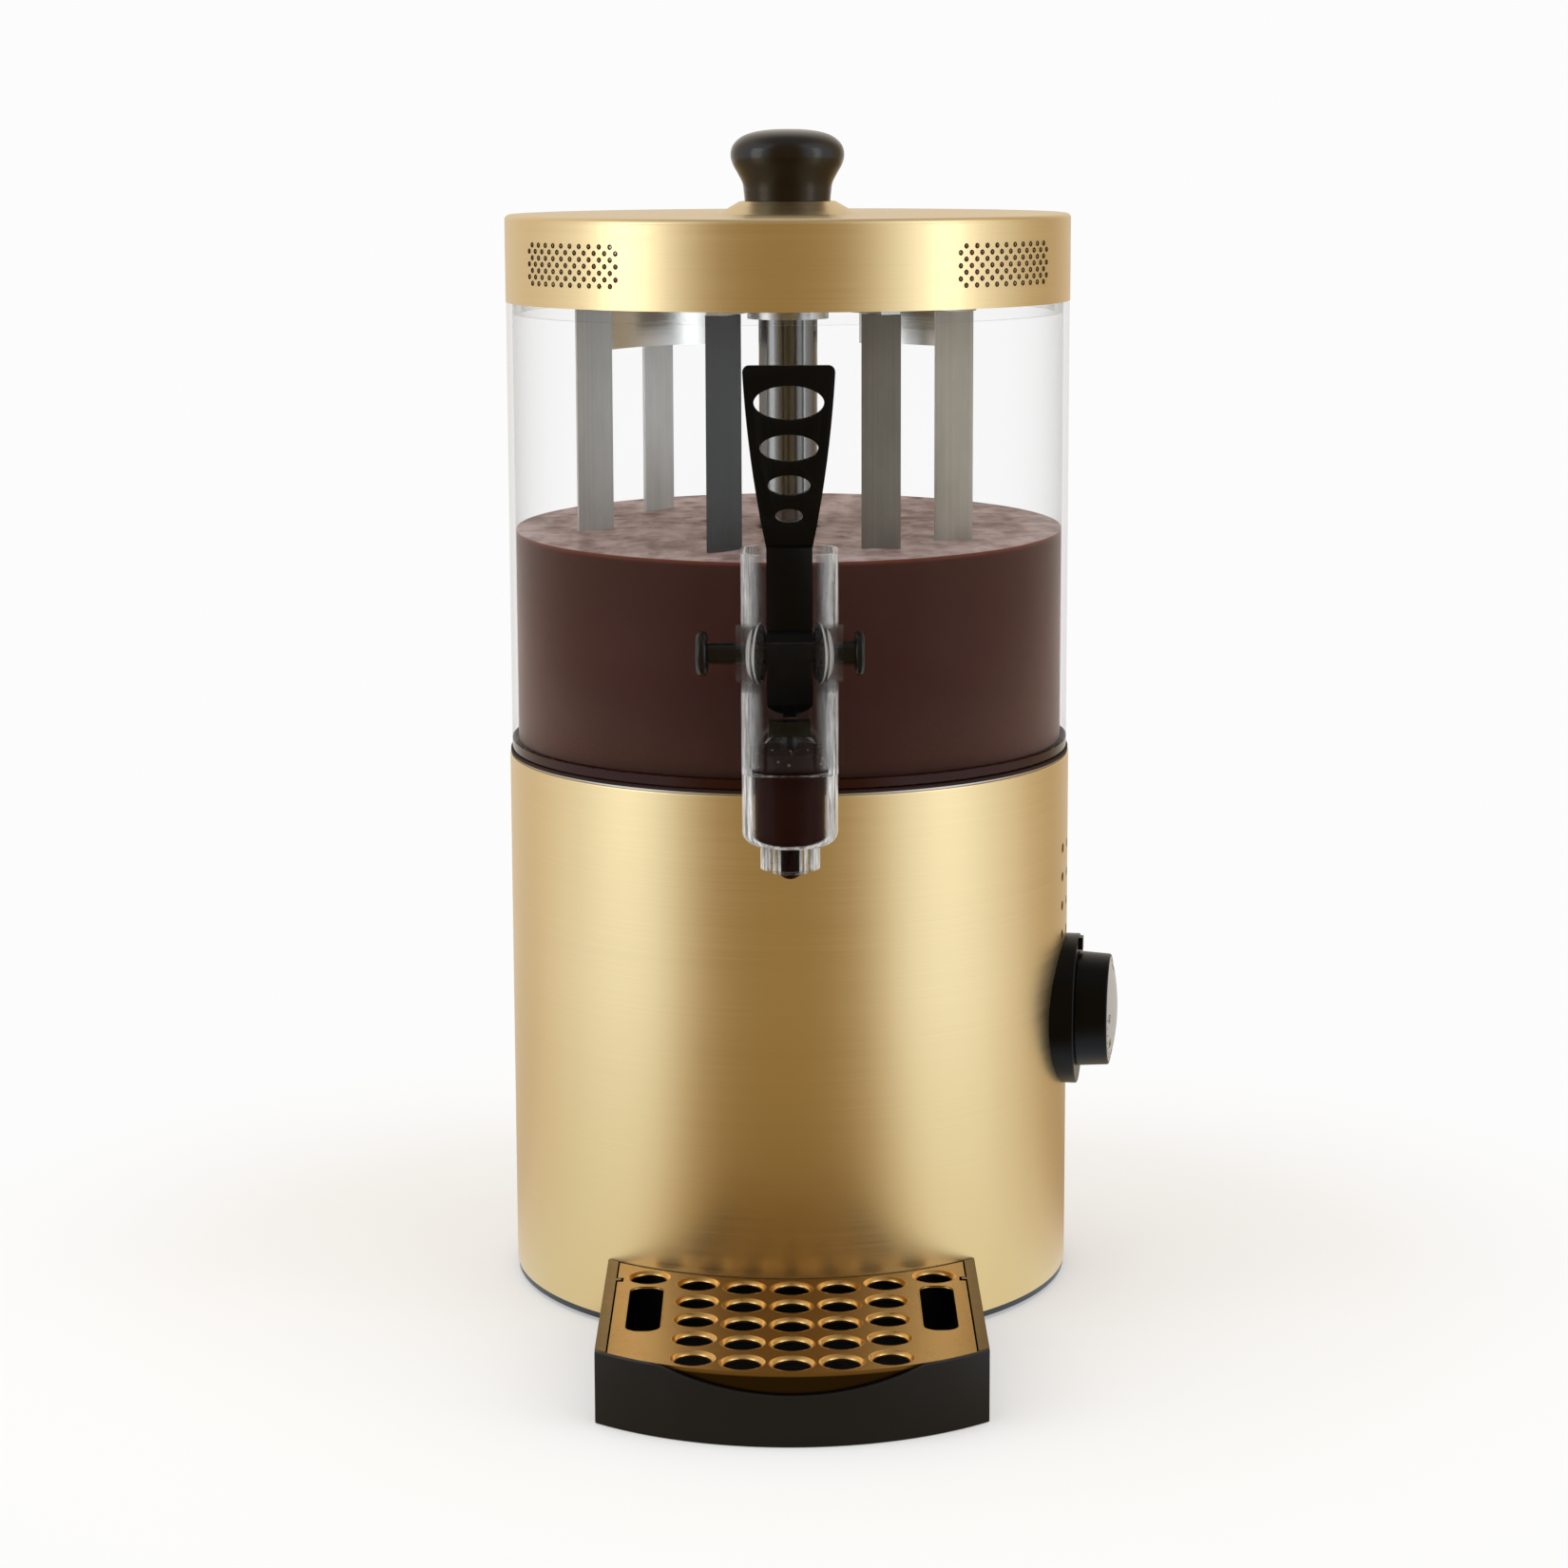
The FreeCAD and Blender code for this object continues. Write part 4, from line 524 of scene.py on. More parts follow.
# What a user can change
class FinishSettings(bpy.types.PropertyGroup):
    """Colours of the machine's finishes."""

    gold: colour_property("Gold", "Brushed gold of the drum, lid and tray rails", shade(229, 205, 157))
    grid_gold: colour_property("Grid gold", "Pressed gold grid over the tray", shade(152, 121, 73))
    steel: colour_property("Steel", "Stainless steel of the centre tube and small parts", shade(196, 194, 190))
    blade: colour_property("Blade steel", "Brushed steel of the stirrer's blades", shade(188, 187, 184))
    black: colour_property("Black", "Satin black plastic of tray and pan", shade(21, 21, 22))
    gloss: colour_property("Gloss black", "Black plastic of lever, pins and dial", shade(7, 7, 7))
    knob: colour_property("Knob brown", "Dark brown of the lid's knob", shade(22, 13, 9))
    clear: colour_property("Clear", "Clear plastic of bowl and tap", (0.96, 0.97, 0.98))


class DrinkSettings(bpy.types.PropertyGroup):
    """The hot chocolate in the bowl and in the tap."""

    colour: colour_property("Drink", "Colour of the hot chocolate", shade(50, 17, 9))
    wave: length_property("Wave", "Height of the folds on the drink's surface", 0.0011)
    rim: length_property("Rim", "How far the drink climbs at the bowl's wall", 0.0006)
    heave: length_property("Heave", "How far the stirred drink stands up at the rear and down in front", 0.003)
    # painted highlight: the drink's top is painted in this pale colour
    top: colour_property("Drink's top", "Colour of the drink's surface, paler with froth", shade(150, 142, 146))
    # painted highlight: the band on the drink's side just under its surface is painted in this colour
    edge: colour_property("Drink's edge", "Colour of the thin drink at the bowl's wall", shade(112, 58, 44))
    bubbles: count_property("Bubbles", "Bubbles on the drink in the tap", 46, 0)
    bubble_radius: length_property("Bubble radius", "Radius of the largest bubble", 0.0008)


class GridSettings(bpy.types.PropertyGroup):
    """The dimples and finger slots of the drip grid."""

    rows: count_property("Rows", "Rows of dimples, rear to front", 5)
    columns_aside: count_property("Columns aside", "Columns of dimples at each side of the middle one", 2, 0)
    row_pitch: length_property("Row pitch", "From one row of dimples to the next", 0.0261)
    column_pitch: length_property("Column pitch", "From one column of dimples to the next", 0.022)
    first_row: length_property("First row", "From the drum's axis to the rear row", 0.1538)
    bow: length_property("Bow", "Radius that the rows follow", 0.139)
    corner_side: length_property("Corner side", "Rear corner dimples, off the middle", 0.0675)
    corner_front: length_property("Corner front", "Rear corner dimples, in front of the axis", 0.1365)
    middle_radius: length_property("Dimple radius", "Middle radius of a dimple's rolled wall", 0.00935)
    slope: length_property("Slope", "How far a dimple's wall leans in", 0.0011)
    depth: length_property("Depth", "Depth of a dimple's wall", 0.0016)
    wall: length_property("Wall", "Thickness of a dimple's rolled wall", 0.0004)
    slot_side: length_property("Slot side", "Finger slots, off the middle", 0.0678)
    slot_front: length_property("Slot front", "Finger slots, in front of the axis", 0.1825)
    slot_length: length_property("Slot length", "Length of a finger slot", 0.064)
    slot_breadth: length_property("Slot breadth", "Breadth of a finger slot", 0.016)
    slot_corner: length_property("Slot corner", "Radius of a finger slot's corners", 0.0065)
    lip: length_property("Lip", "How far a rolled edge stands over the plate", 0.00003)


class VentSettings(bpy.types.PropertyGroup):
    """The painted shade at the edges of the lid's small vents."""

    azimuth: angle_property("Azimuth", "Middle of a patch, from the front", 48.5)
    step: angle_property("Step", "From one column to the next", 2.7)
    pitch: length_property("Pitch", "From one row to the next", 0.003)
    height: length_property("Height", "Middle of a patch above the lid's foot", 0.02)
    columns: count_property("Columns", "Columns in a patch", 11)
    rows: count_property("Rows", "Rows in a patch", 7)
    radius: length_property("Radius", "Radius of a vent", 0.001)
    edge: length_property("Edge", "Breadth of a vent's dark edge", 0.0003)


class DialSettings(bpy.types.PropertyGroup):
    """The scale on the dial's domed cap."""

    azimuth: angle_property("Azimuth", "Dial's axis, counted from the front", 81)
    height: length_property("Height", "Height of the dial's axis", 0.1357)
    face: length_property("Face", "From the drum's axis to the plane of the cap's rim", 0.162)
    cap_radius: length_property("Cap radius", "Radius of the cap's rim", 0.0262)
    cap_rise: length_property("Cap rise", "How far the cap's middle stands over its rim", 0.0034)
    sweep: angle_property("Sweep", "How far the scale reaches, against the dial's turn", 270)
    ticks: count_property("Ticks", "Marks on the scale, four from one number to the next", 29, 2)
    tick_radius: length_property("Tick radius", "Radius that the marks stand on", 0.0246)
    tick_length: length_property("Tick length", "Length of one mark", 0.0017)
    tick_width: length_property("Tick width", "Width of one mark", 0.0004)
    figure_radius: length_property("Figure radius", "Radius that the numbers stand on", 0.0213)
    figure_height: length_property("Figure height", "Height of the numbers", 0.0034)
    ink: colour_property("Ink", "Colour of marks and numbers", shade(34, 34, 36))


class StageSettings(bpy.types.PropertyGroup):
    """Camera, lamps and backdrop."""

    distance: length_property("Distance", "Camera in front of the drum's axis", 1.769)
    height: length_property("Height", "Camera above the counter", 0.5635)
    aside: length_property("Aside", "Camera to the right of the drum's axis", -0.0026)
    pitch: angle_property("Pitch", "Camera's tilt down", 8.92)
    lens: number_property("Lens", "Focal length in millimetres", 82.11)
    shift: number_property("Shift", "Vertical shift of the picture", -0.05)
    roll: angle_property("Roll", "Camera's turn about its view", -0.2)
    side_power: number_property("Side lamps", "Power of the left lamp in watts; the right one has a share of it", 6)
    top_power: number_property("Top lamp", "Power of the top lamp in watts", 7)
    room: number_property("Room light", "Strength of the room's light", 1.05)
    ceiling: number_property("Ceiling", "Strength of the light from above", 1.05)
    backdrop: number_property("Backdrop light", "Strength the camera sees", 0.975)
    shadow_reach: length_property("Shadow reach", "Radius inside which the floor shows shadows", 0.5)
    pale: colour_property("Backdrop", "Colour of floor and backdrop", (0.92, 0.92, 0.92))


def settings(context):
    """What the user has set."""
    return context.scene.dispenser


# Pieces
class DISPENSER_OT_gold_parts(bpy.types.Operator):
    """Finish the gold drum, lid, tray rails and grid"""

    bl_idname = "dispenser.gold_parts"
    bl_label = "Gold parts"

    def execute(self, context):
        gold, grid_gold = tuple(settings(context).finishes.gold), tuple(settings(context).finishes.grid_gold)
        round_lines = (5, 5, 1500)
        # the drum's gold is painted darker towards its foot, as painted shade
        dress(brushed_gold("brushed_gold_drum", gold, round_lines, painted_foot_shade=0.7), "base_shell")
        # the lid's inside and the grid's underside get painted shade
        dress(brushed_gold("brushed_gold_lid", gold, round_lines, inside=LID_INSIDE), "lid")
        dress(brushed_gold("pressed_gold", grid_gold, ALL_WAYS, streak=0.5, roughness=0.26, foot=PLATE_FOOT), "grid")
        dress(brushed_gold("rail_gold", toned(grid_gold, 0.36), ALL_WAYS, streak=0.5, roughness=0.3), "tray_rails")
        piece("lid_rim", self.lid_rim(), brushed_gold("brushed_gold_rim", gold, round_lines), "lid_unit")
        return {"FINISHED"}

    def lid_rim(self):
        """The lid's rounded upper edge, whose buried back closes it."""
        wide, steps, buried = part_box("lid")[1].x, 12, 0.0003
        reach = LID_EDGE + SKIN
        angles = [QUARTER_TURN * step / steps for step in range(steps + 1)]
        bend = [(wide - LID_EDGE + reach * math.cos(angle), LID_SHOULDER + reach * math.sin(angle))
                for angle in angles]
        return lathe("lid_rim", [(wide - buried, LID_SHOULDER - 2 * buried), *bend,
                                 (wide - LID_EDGE - 2 * buried, LID_TOP - buried)], turns=240)


class DISPENSER_OT_steel_parts(bpy.types.Operator):
    """Finish the centre tube, stirrer, washers and the metal parts inside the drum"""

    bl_idname = "dispenser.steel_parts"
    bl_label = "Steel parts"

    def execute(self, context):
        steel, blade = tuple(settings(context).finishes.steel), tuple(settings(context).finishes.blade)
        upright, flat = (900, 900, 4), (4, 4, 900)
        dress(satin_steel("drawn_steel", steel, upright, roughness=0.16), "drive_shaft", "dial_spindle")
        # painted shade: centre tube and sleeve are painted darker than the other steel, though they are the same steel
        dress(satin_steel("tube_steel", toned(steel, 0.3), upright, roughness=0.16), "centre_tube", "stirrer_sleeve")
        dress(satin_steel("stamped_steel", steel, flat), "water_tank", "heating_element", "motor_plate", "motor_posts",
              "motor_screws", "base_screws", "knob_washer", "knob_screw", "thermostat_probe", "stirrer_hub")
        self.washers(steel)
        # painted reflection: two blades are painted darker than the other three, for the dark that they reflect; all
        # five are the same steel
        darker = {"stirrer_blade_left_front": 0.08, "stirrer_blade_right_inner": 0.45}
        dress(stained_steel("blade_steel", blade, upright),
              *[name for name in NODES if name.startswith("stirrer_blade") and name not in darker])
        for name, share in darker.items():
            dress(stained_steel(f"{name}_steel", toned(blade, share), upright), name)
        dress(satin_steel("bright_arc", steel, flat, roughness=0.2), "stirrer_arcs")
        dress(satin_steel("cast_alloy", shade(150, 152, 155), (400, 400, 400), roughness=0.5), "gearbox",
              "shaft_coupling")
        dress(satin_steel("turned_brass", shade(196, 160, 92), (700, 700, 700), roughness=0.3), "element_glands",
              "probe_gland")
        return {"FINISHED"}

    def washers(self, colour):
        """The polished dished washers beside the lever, each with two rims, made in pale plastic so that the rims show
        bright, as painted highlight.
        """
        low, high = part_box("pivot_washers")
        radius, inset, gap, narrowing, tilt = (high.z - low.z) / 2, 0.0012, 0.0021, 0.916, math.radians(13)
        inner, bend = radius * 0.45, radius * 0.8
        profile = [(inner, -0.0022), (bend, -0.0016), (radius - 0.0006, 0), (radius, 0.0005),
                   (radius - 0.0005, 0.0009), (radius - 0.0012, 0.0004), (bend, -0.0009), (inner, -0.0015)]
        meshes = []
        for side in (-1, 1):
            for back, share in ((0, 1), (gap, narrowing)):
                mesh = lathe("washer", [(wide * share, height) for wide, height in profile], turns=72)
                mesh.transform(Matrix.Translation((side * (high.x - inset + back), PIVOT.y, PIVOT.z))
                               @ Matrix.Rotation(side * tilt, 4, "Z")
                               @ Matrix.Rotation(-side * QUARTER_TURN, 4, "Y"))
                meshes.append(mesh)
        piece("dished_washers", joined("dished_washers", meshes), moulded("polished_washer", colour, 0.18, grain=FINE),
              "bowl_unit", replaced=("pivot_washers",))


class DISPENSER_OT_plastic_parts(bpy.types.Operator):
    """Finish the moulded plastic and rubber parts"""

    bl_idname = "dispenser.plastic_parts"
    bl_label = "Plastic and rubber parts"

    def execute(self, context):
        finishes = settings(context).finishes
        gloss, black = tuple(finishes.gloss), tuple(finishes.black)
        dress(moulded("gloss_black", gloss, 0.22, gloss=0.3), "pivot_pin", "pivot_cap", "pivot_spacers", "plunger")
        dress(moulded("dial_black", toned(gloss, 0.4), 0.3, gloss=0.14), "dial_bezel", "dial_knob")
        profile = [(radius / 1000, KNOB_FOOT + height / 1000) for radius, height in KNOB_PROFILE]
        knob = lathe("turned_knob", [(0, KNOB_FOOT), *smooth_line(profile)], turns=96)
        piece("turned_knob", knob, moulded("knob_brown", tuple(finishes.knob), 0.2, grain=FINE, gloss=0.4),
              "lid_unit", replaced=("lid_knob",))
        dress(moulded("satin_black", black, 0.45), "base_pan", "bezel_nut", "cord_gland", "cord_nut")
        dress(moulded("black_rubber", shade(24, 24, 24), 0.8), "rubber_feet", "plunger_seal")
        dress(moulded("pale_silicone", shade(214, 214, 210), 0.5), "centre_gasket")
        dress(moulded("dark_silicone", shade(46, 30, 25), 0.6, gloss=0.1), "bowl_seal", "tap_gasket")
        dress(moulded("white_nylon", shade(222, 220, 212), 0.5), "shaft_bush", "thermostat", "terminal_block",
              "centre_nut", "thrust_washer")
        dress(moulded("light_grey", shade(176, 176, 174), 0.35), "dial_cap")
        dress(moulded("motor_black", shade(34, 35, 38), 0.4), "motor")
        return {"FINISHED"}


class DISPENSER_OT_clear_parts(bpy.types.Operator):
    """Finish the clear bowl and the clear tap"""

    bl_idname = "dispenser.clear_parts"
    bl_label = "Clear bowl and tap"

    def execute(self, context):
        colour = tuple(settings(context).finishes.clear)
        drink = toned(settings(context).drink.colour, 0.8)
        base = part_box("hot_chocolate")[0].z
        dress(clear_shell("clear_bowl", toned(colour, 0.35), 0.012, 0.4, base, drink), "bowl", "lid_ring")
        piece("tap_housing", eased("tap_body", 0.0006), clear_wall("clear_tap", colour), "bowl_unit",
              replaced=("tap_body",))
        return {"FINISHED"}


def folded(x, y):
    """Folds of the drink's surface at a place, from about -1 to 1."""
    drifts, folds, ripples = 9, 34, 85  # to a metre
    place = Vector((x, y, 0))
    drift = Vector((noise.noise(place * drifts), noise.noise(place * drifts + Vector((7, 3, 1))), 0)) * 0.05
    fold = 1 - 2 * abs(noise.noise((place + drift) * folds))
    ripple = noise.noise((place + drift) * ripples + Vector((1, 4, 2)))
    return 0.65 * fold ** 3 + 0.35 * ripple


class DISPENSER_OT_drink(bpy.types.Operator):
    """Pour the hot chocolate, with folds on its surface and a raised rim at the bowl"""

    bl_idname = "dispenser.drink"
    bl_label = "Hot chocolate"

    def execute(self, context):
        drink = settings(context).drink
        low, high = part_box("hot_chocolate")
        wall, level = high.x, high.z - drink.wave - drink.heave
        sleeve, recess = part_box("stirrer_sleeve")[1].x + 0.0001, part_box("centre_tube")[1].x + 0.0003
        step, edge, climbing, rings = low.z + 0.003, 0.0004, 0.004, 110

        def surface(x, y, radius):
            climb = max(0.0, 1 - (wall - radius) / climbing)
            return (level + drink.wave * folded(x, y) * (1 - climb) + drink.rim * climb ** 2
                    + drink.heave * (1 + y / wall))

        profile = [(recess, low.z), (wall, low.z), (wall, None), (wall - edge, None)]
        profile += [(wall - (wall - sleeve - edge) * ring / rings, None) for ring in range(1, rings)]
        profile += [(sleeve, None), (sleeve, step), (recess, step)]
        material = chocolate("hot_chocolate", tuple(drink.colour), drink, level, wall)
        piece("drink_surface", lathe("drink", profile, turns=300, lift=surface), material, "agitator",
              replaced=("hot_chocolate",))
        # painted shade: the drink in the tap and spout is painted at half the drink's colour
        dress(chocolate("tap_chocolate", toned(drink.colour, 0.5)), "tap_drink", "spout_drink")
        return {"FINISHED"}


def chocolate(name, colour, made=None, level=0.0, wall=1.0):
    """Smooth wet chocolate; with the drink's settings, also its sheen, a top painted pale in streaks as painted
    highlight, and a band under the surface's edge painted paler as painted highlight.
    """
    drink = Finish(name, colour, ior=1.4, specular_ior_level=0.06, sheen_weight=0.3 if made else 0.0,
                   sheen_roughness=0.5, sheen_tint=(1.0, 0.55, 0.42, 1.0))
    cloud = drink.speckle(14.0, 4, (1, 1, 1.6))
    skin = drink.speckle(60.0, 5, (1, 1, 0.2), rough=0.6)
    share = (cloud - 0.5) * 0.8 + (skin - 0.5) * 0.7 + 0.5
    finish = drink.blend(share, toned(colour, 0.78), toned(colour, 1.25))
    if made:
        upward = drink.parts(drink.add("ShaderNodeNewGeometry", output="True Normal"))[2].within(0.5, 0.8)
        y, z = drink.here()[1:]
        surface = level + made.heave
        # painted highlight: a band on the drink's side just under its surface is painted paler and redder, along the
        # meniscus
        thin = (z - y * (made.heave / wall)).within(surface - 0.0016, surface + 0.0003) * (1 - upward)
        # painted highlight: the drink's top is painted pale, in streaks, for the light that its surface reflects
        froth = drink.speckle(1.0, 5, (70, 45, 1), rough=0.6)
        pale = drink.blend((froth - 0.5) * 4.0 + 0.5, toned(made.top, 0.45), toned(made.top, 1.7))
        finish = drink.blend(thin, finish, tuple(made.edge))
        finish = drink.blend(upward, finish, pale)
    drink.set("Base Color", finish)
    drink.set("Roughness", 0.34 + cloud * 0.16)
    drink.relief(drink.speckle(160.0, 4), 0.00015, 0.25)
    return drink.material


class DISPENSER_OT_tap_bubbles(bpy.types.Operator):
    """Strew small bubbles on the drink in the tap"""

    bl_idname = "dispenser.tap_bubbles"
    bl_label = "Bubbles in the tap"

    def execute(self, context):
        drink = settings(context).drink
        low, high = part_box("tap_drink")
        radius, depth, below, sides = high.x, 0.0083, 0.0002, 60
        angles = [FULL_TURN * index / sides for index in range(sides)]
        ring = [(radius * 0.985 * math.sin(angle), low.y + radius - radius * 0.985 * math.cos(angle))
                for angle in angles]
        corners = [(x, y, z) for z in (high.z - below - depth, high.z - below) for x, y in ring]
        faces = [(index, (index + 1) % sides, (index + 1) % sides + sides, index + sides) for index in range(sides)]
        mesh = bpy.data.meshes.new("tap_wall")
        mesh.from_pydata(corners, [], [*faces, tuple(range(sides, 2 * sides))])

        def build(tree, inputs):
            points = tree.add("GeometryNodeDistributePointsOnFaces", {
                "Mesh": inputs["Geometry"], "Density": inputs["Density"], "Seed": inputs["Seed"]},
                distribute_method="RANDOM")
            ball = tree.add("GeometryNodeMeshIcoSphere", {"Radius": inputs["Radius"], "Subdivisions": 2})
            least, most, seed = 2, 3, 8  # sockets of the node, several of which share a name
            size = tree.add("FunctionNodeRandomValue", {least: 0.35, most: 1.0, seed: inputs["Seed"]}, output=1,
                            data_type="FLOAT")
            balls = tree.add("GeometryNodeInstanceOnPoints", {"Points": points, "Instance": ball, "Scale": size})
            return tree.add("GeometryNodeSetShadeSmooth", {"Geometry": balls})

        area = math.pi * radius ** 2 + FULL_TURN * radius * depth
        froth = Finish("froth", shade(150, 110, 88), coat_weight=0.6)
        froth.set("Roughness", 0.15 + froth.speckle(600.0) * 0.15)
        bubbles = grown("tap_bubbles", mesh, froth.material, {
            "Density": drink.bubbles / area, "Seed": 4, "Radius": drink.bubble_radius}, build)
        piece("tap_bubbles", bubbles, froth.material, "bowl_unit")
        return {"FINISHED"}


class DISPENSER_OT_lever(bpy.types.Operator):
    """Ease the edges of the tap's lever"""

    bl_idname = "dispenser.lever"
    bl_label = "Lever"

    def execute(self, context):
        black = moulded("lever_black", toned(settings(context).finishes.gloss, 0.6), 0.34, gloss=0.12)
        piece("lever_handle", eased("lever", 0.0009), black, "tap_lever", replaced=("lever",))
        return {"FINISHED"}


class DISPENSER_OT_tray(bpy.types.Operator):
    """Ease the edges of the black drip tray"""

    bl_idname = "dispenser.tray"
    bl_label = "Drip tray"

    def execute(self, context):
        black = moulded("tray_black", tuple(settings(context).finishes.black), 0.42, grain=0.00006, gloss=0.3)
        piece("tray_front", eased("tray", 0.0008), black, "drip_tray", replaced=("tray",))
        return {"FINISHED"}


class DISPENSER_OT_grid_dimples(bpy.types.Operator):
    """Roll the edges of the grid's dimples and finger slots"""

    bl_idname = "dispenser.grid_dimples"
    bl_label = "Grid dimples"

    def execute(self, context):
        made = settings(context).grid
        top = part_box("grid")[1].z
        places = []
        for row in range(made.rows):
            for column in range(-made.columns_aside, made.columns_aside + 1):
                x = column * made.column_pitch
                back = made.bow - math.sqrt(made.bow ** 2 - x ** 2)
                places.append((x, -made.first_row - row * made.row_pitch + back, top))
        places += [(side * made.corner_side, -made.corner_front, top) for side in (-1, 1)]

        def build(tree, inputs):
            around, through = 41, 17  # points of the sheet that is rolled up to a ring, ends counted
            wide, high, bend = 0.46, 0.3, 1.8  # the wall's shares of its thickness, and how late it falls off
            sheet = tree.add("GeometryNodeMeshGrid", {
                "Size X": FULL_TURN, "Size Y": FULL_TURN, "Vertices X": around, "Vertices Y": through})
            turn, loop = tree.parts(tree.add("GeometryNodeInputPosition"))[:2]
            along, across = loop.cosine(), loop.sine() * inputs["Wall"]
            radius = inputs["Middle"] + along * inputs["Slope"] + across * wide
            height = inputs["Lip"] - ((1 - along) * 0.5) ** bend * inputs["Depth"] + across * high
            place = tree.vector(radius * turn.cosine(), radius * turn.sine(), height)
            bent = tree.add("GeometryNodeSetPosition", {"Geometry": sheet, "Position": place})
            closed = tree.add("GeometryNodeMergeByDistance", {"Geometry": bent, "Distance": 0.00002})
            return tree.add("GeometryNodeInstanceOnPoints", {"Points": inputs["Geometry"], "Instance": closed})

        # painted highlight: the rolled edges of dimples and slots are painted far lighter than the grid's gold
        gold = brushed_gold("rolled_gold", toned(settings(context).finishes.grid_gold, 2.3), ALL_WAYS, streak=0.5,
                            roughness=0.24)
        rings = grown("dimples", spots("places", places), gold, {
            "Middle": made.middle_radius, "Slope": made.slope, "Depth": made.depth, "Wall": made.wall,
            "Lip": made.lip}, build)
        piece("grid_dimples", outward(rings), gold, "tray_grid")
        piece("grid_slot_edges", self.slot_edges(made, top), gold, "tray_grid")
        return {"FINISHED"}

    def slot_edges(self, made, top):
        """The rolled edges of both finger slots."""
        steps = 8  # to a corner
        edge = [(0.0006, made.lip), (0.0001, -0.0001), (-0.0002, -0.0013), (0.0, -0.0014), (0.0003, -0.0004)]
        aside, ahead = made.slot_breadth / 2 - made.slot_corner, made.slot_length / 2 - made.slot_corner
        meshes = []
        for side in (-1, 1):
            sections = []
            for quarter, (right, back) in enumerate(((1, 1), (-1, 1), (-1, -1), (1, -1))):
                middle = Vector((side * made.slot_side + right * aside, back * ahead - made.slot_front, top))
                for step in range(steps + 1):
                    angle = QUARTER_TURN * (quarter + step / steps)
                    way = Vector((math.cos(angle), math.sin(angle), 0))
                    sections.append([middle + way * (made.slot_corner + reach) + Vector((0, 0, height))
                                     for reach, height in edge])
            meshes.append(hoop("slot_edge", sections))
        return joined("slot_edges", meshes)


def print_on_cap(mesh, made):
    """Bend a flat drawing over the dial's domed cap and turn it from the XY plane to the dial's axis."""
    ball = (made.cap_radius ** 2 + made.cap_rise ** 2) / (2 * made.cap_rise)
    for corner in mesh.vertices:
        reach = math.hypot(corner.co.x, corner.co.y)
        corner.co.z += math.sqrt(ball ** 2 - reach ** 2) - math.sqrt(ball ** 2 - made.cap_radius ** 2)
    out = Vector((math.sin(made.azimuth), -math.cos(made.azimuth), 0))
    aside = Vector((math.cos(made.azimuth), math.sin(made.azimuth), 0))
    columns = (aside, Vector((0, 0, 1)), out, out * made.face + Vector((0, 0, made.height)))
    mesh.transform(Matrix([[column[row] for column in columns] for row in range(3)] + [[0, 0, 0, 1]]))


class DISPENSER_OT_vent_edges(bpy.types.Operator):
    """Paint shade on the edges of the lid's vents, as dark rims inside the holes"""

    bl_idname = "dispenser.vent_edges"
    bl_label = "Vent edges"

    def execute(self, context):
        made = settings(context).vents
        low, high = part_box("lid")
        places, turns = [], []
        for patch in (made.azimuth, -made.azimuth, math.pi + made.azimuth, math.pi - made.azimuth):
            for row in range(made.rows):
                count = made.columns - (row + 1) % 2
                for column in range(count):
                    azimuth = patch + (column - (count - 1) / 2) * made.step
                    places.append((high.x * math.sin(azimuth), -high.x * math.cos(azimuth),
                                   low.z + made.height + (row - (made.rows - 1) / 2) * made.pitch))
                    turns.append(azimuth)

        def build(tree, inputs):
            inner = tree.add("GeometryNodeMeshCircle", {"Vertices": 20, "Radius": inputs["Radius"]}, fill_type="NONE")
            ring = tree.add("GeometryNodeMeshToCurve", {"Mesh": inner})
            wire = tree.add("GeometryNodeCurvePrimitiveCircle", {"Resolution": 6, "Radius": inputs["Edge"]})
            rim = tree.add("GeometryNodeCurveToMesh", {"Curve": ring, "Profile Curve": wire})
            return turned_copies(tree, inputs, rim, QUARTER_TURN)

        dark = moulded("vent_shadow", shade(46, 32, 18), 0.6, gloss=0.1)
        rims = grown("vent_edges", spots("vents", places, turns), dark, {"Radius": made.radius, "Edge": made.edge},
                     build)
        piece("vent_edges", outward(rims), dark, "lid_unit")
        return {"FINISHED"}


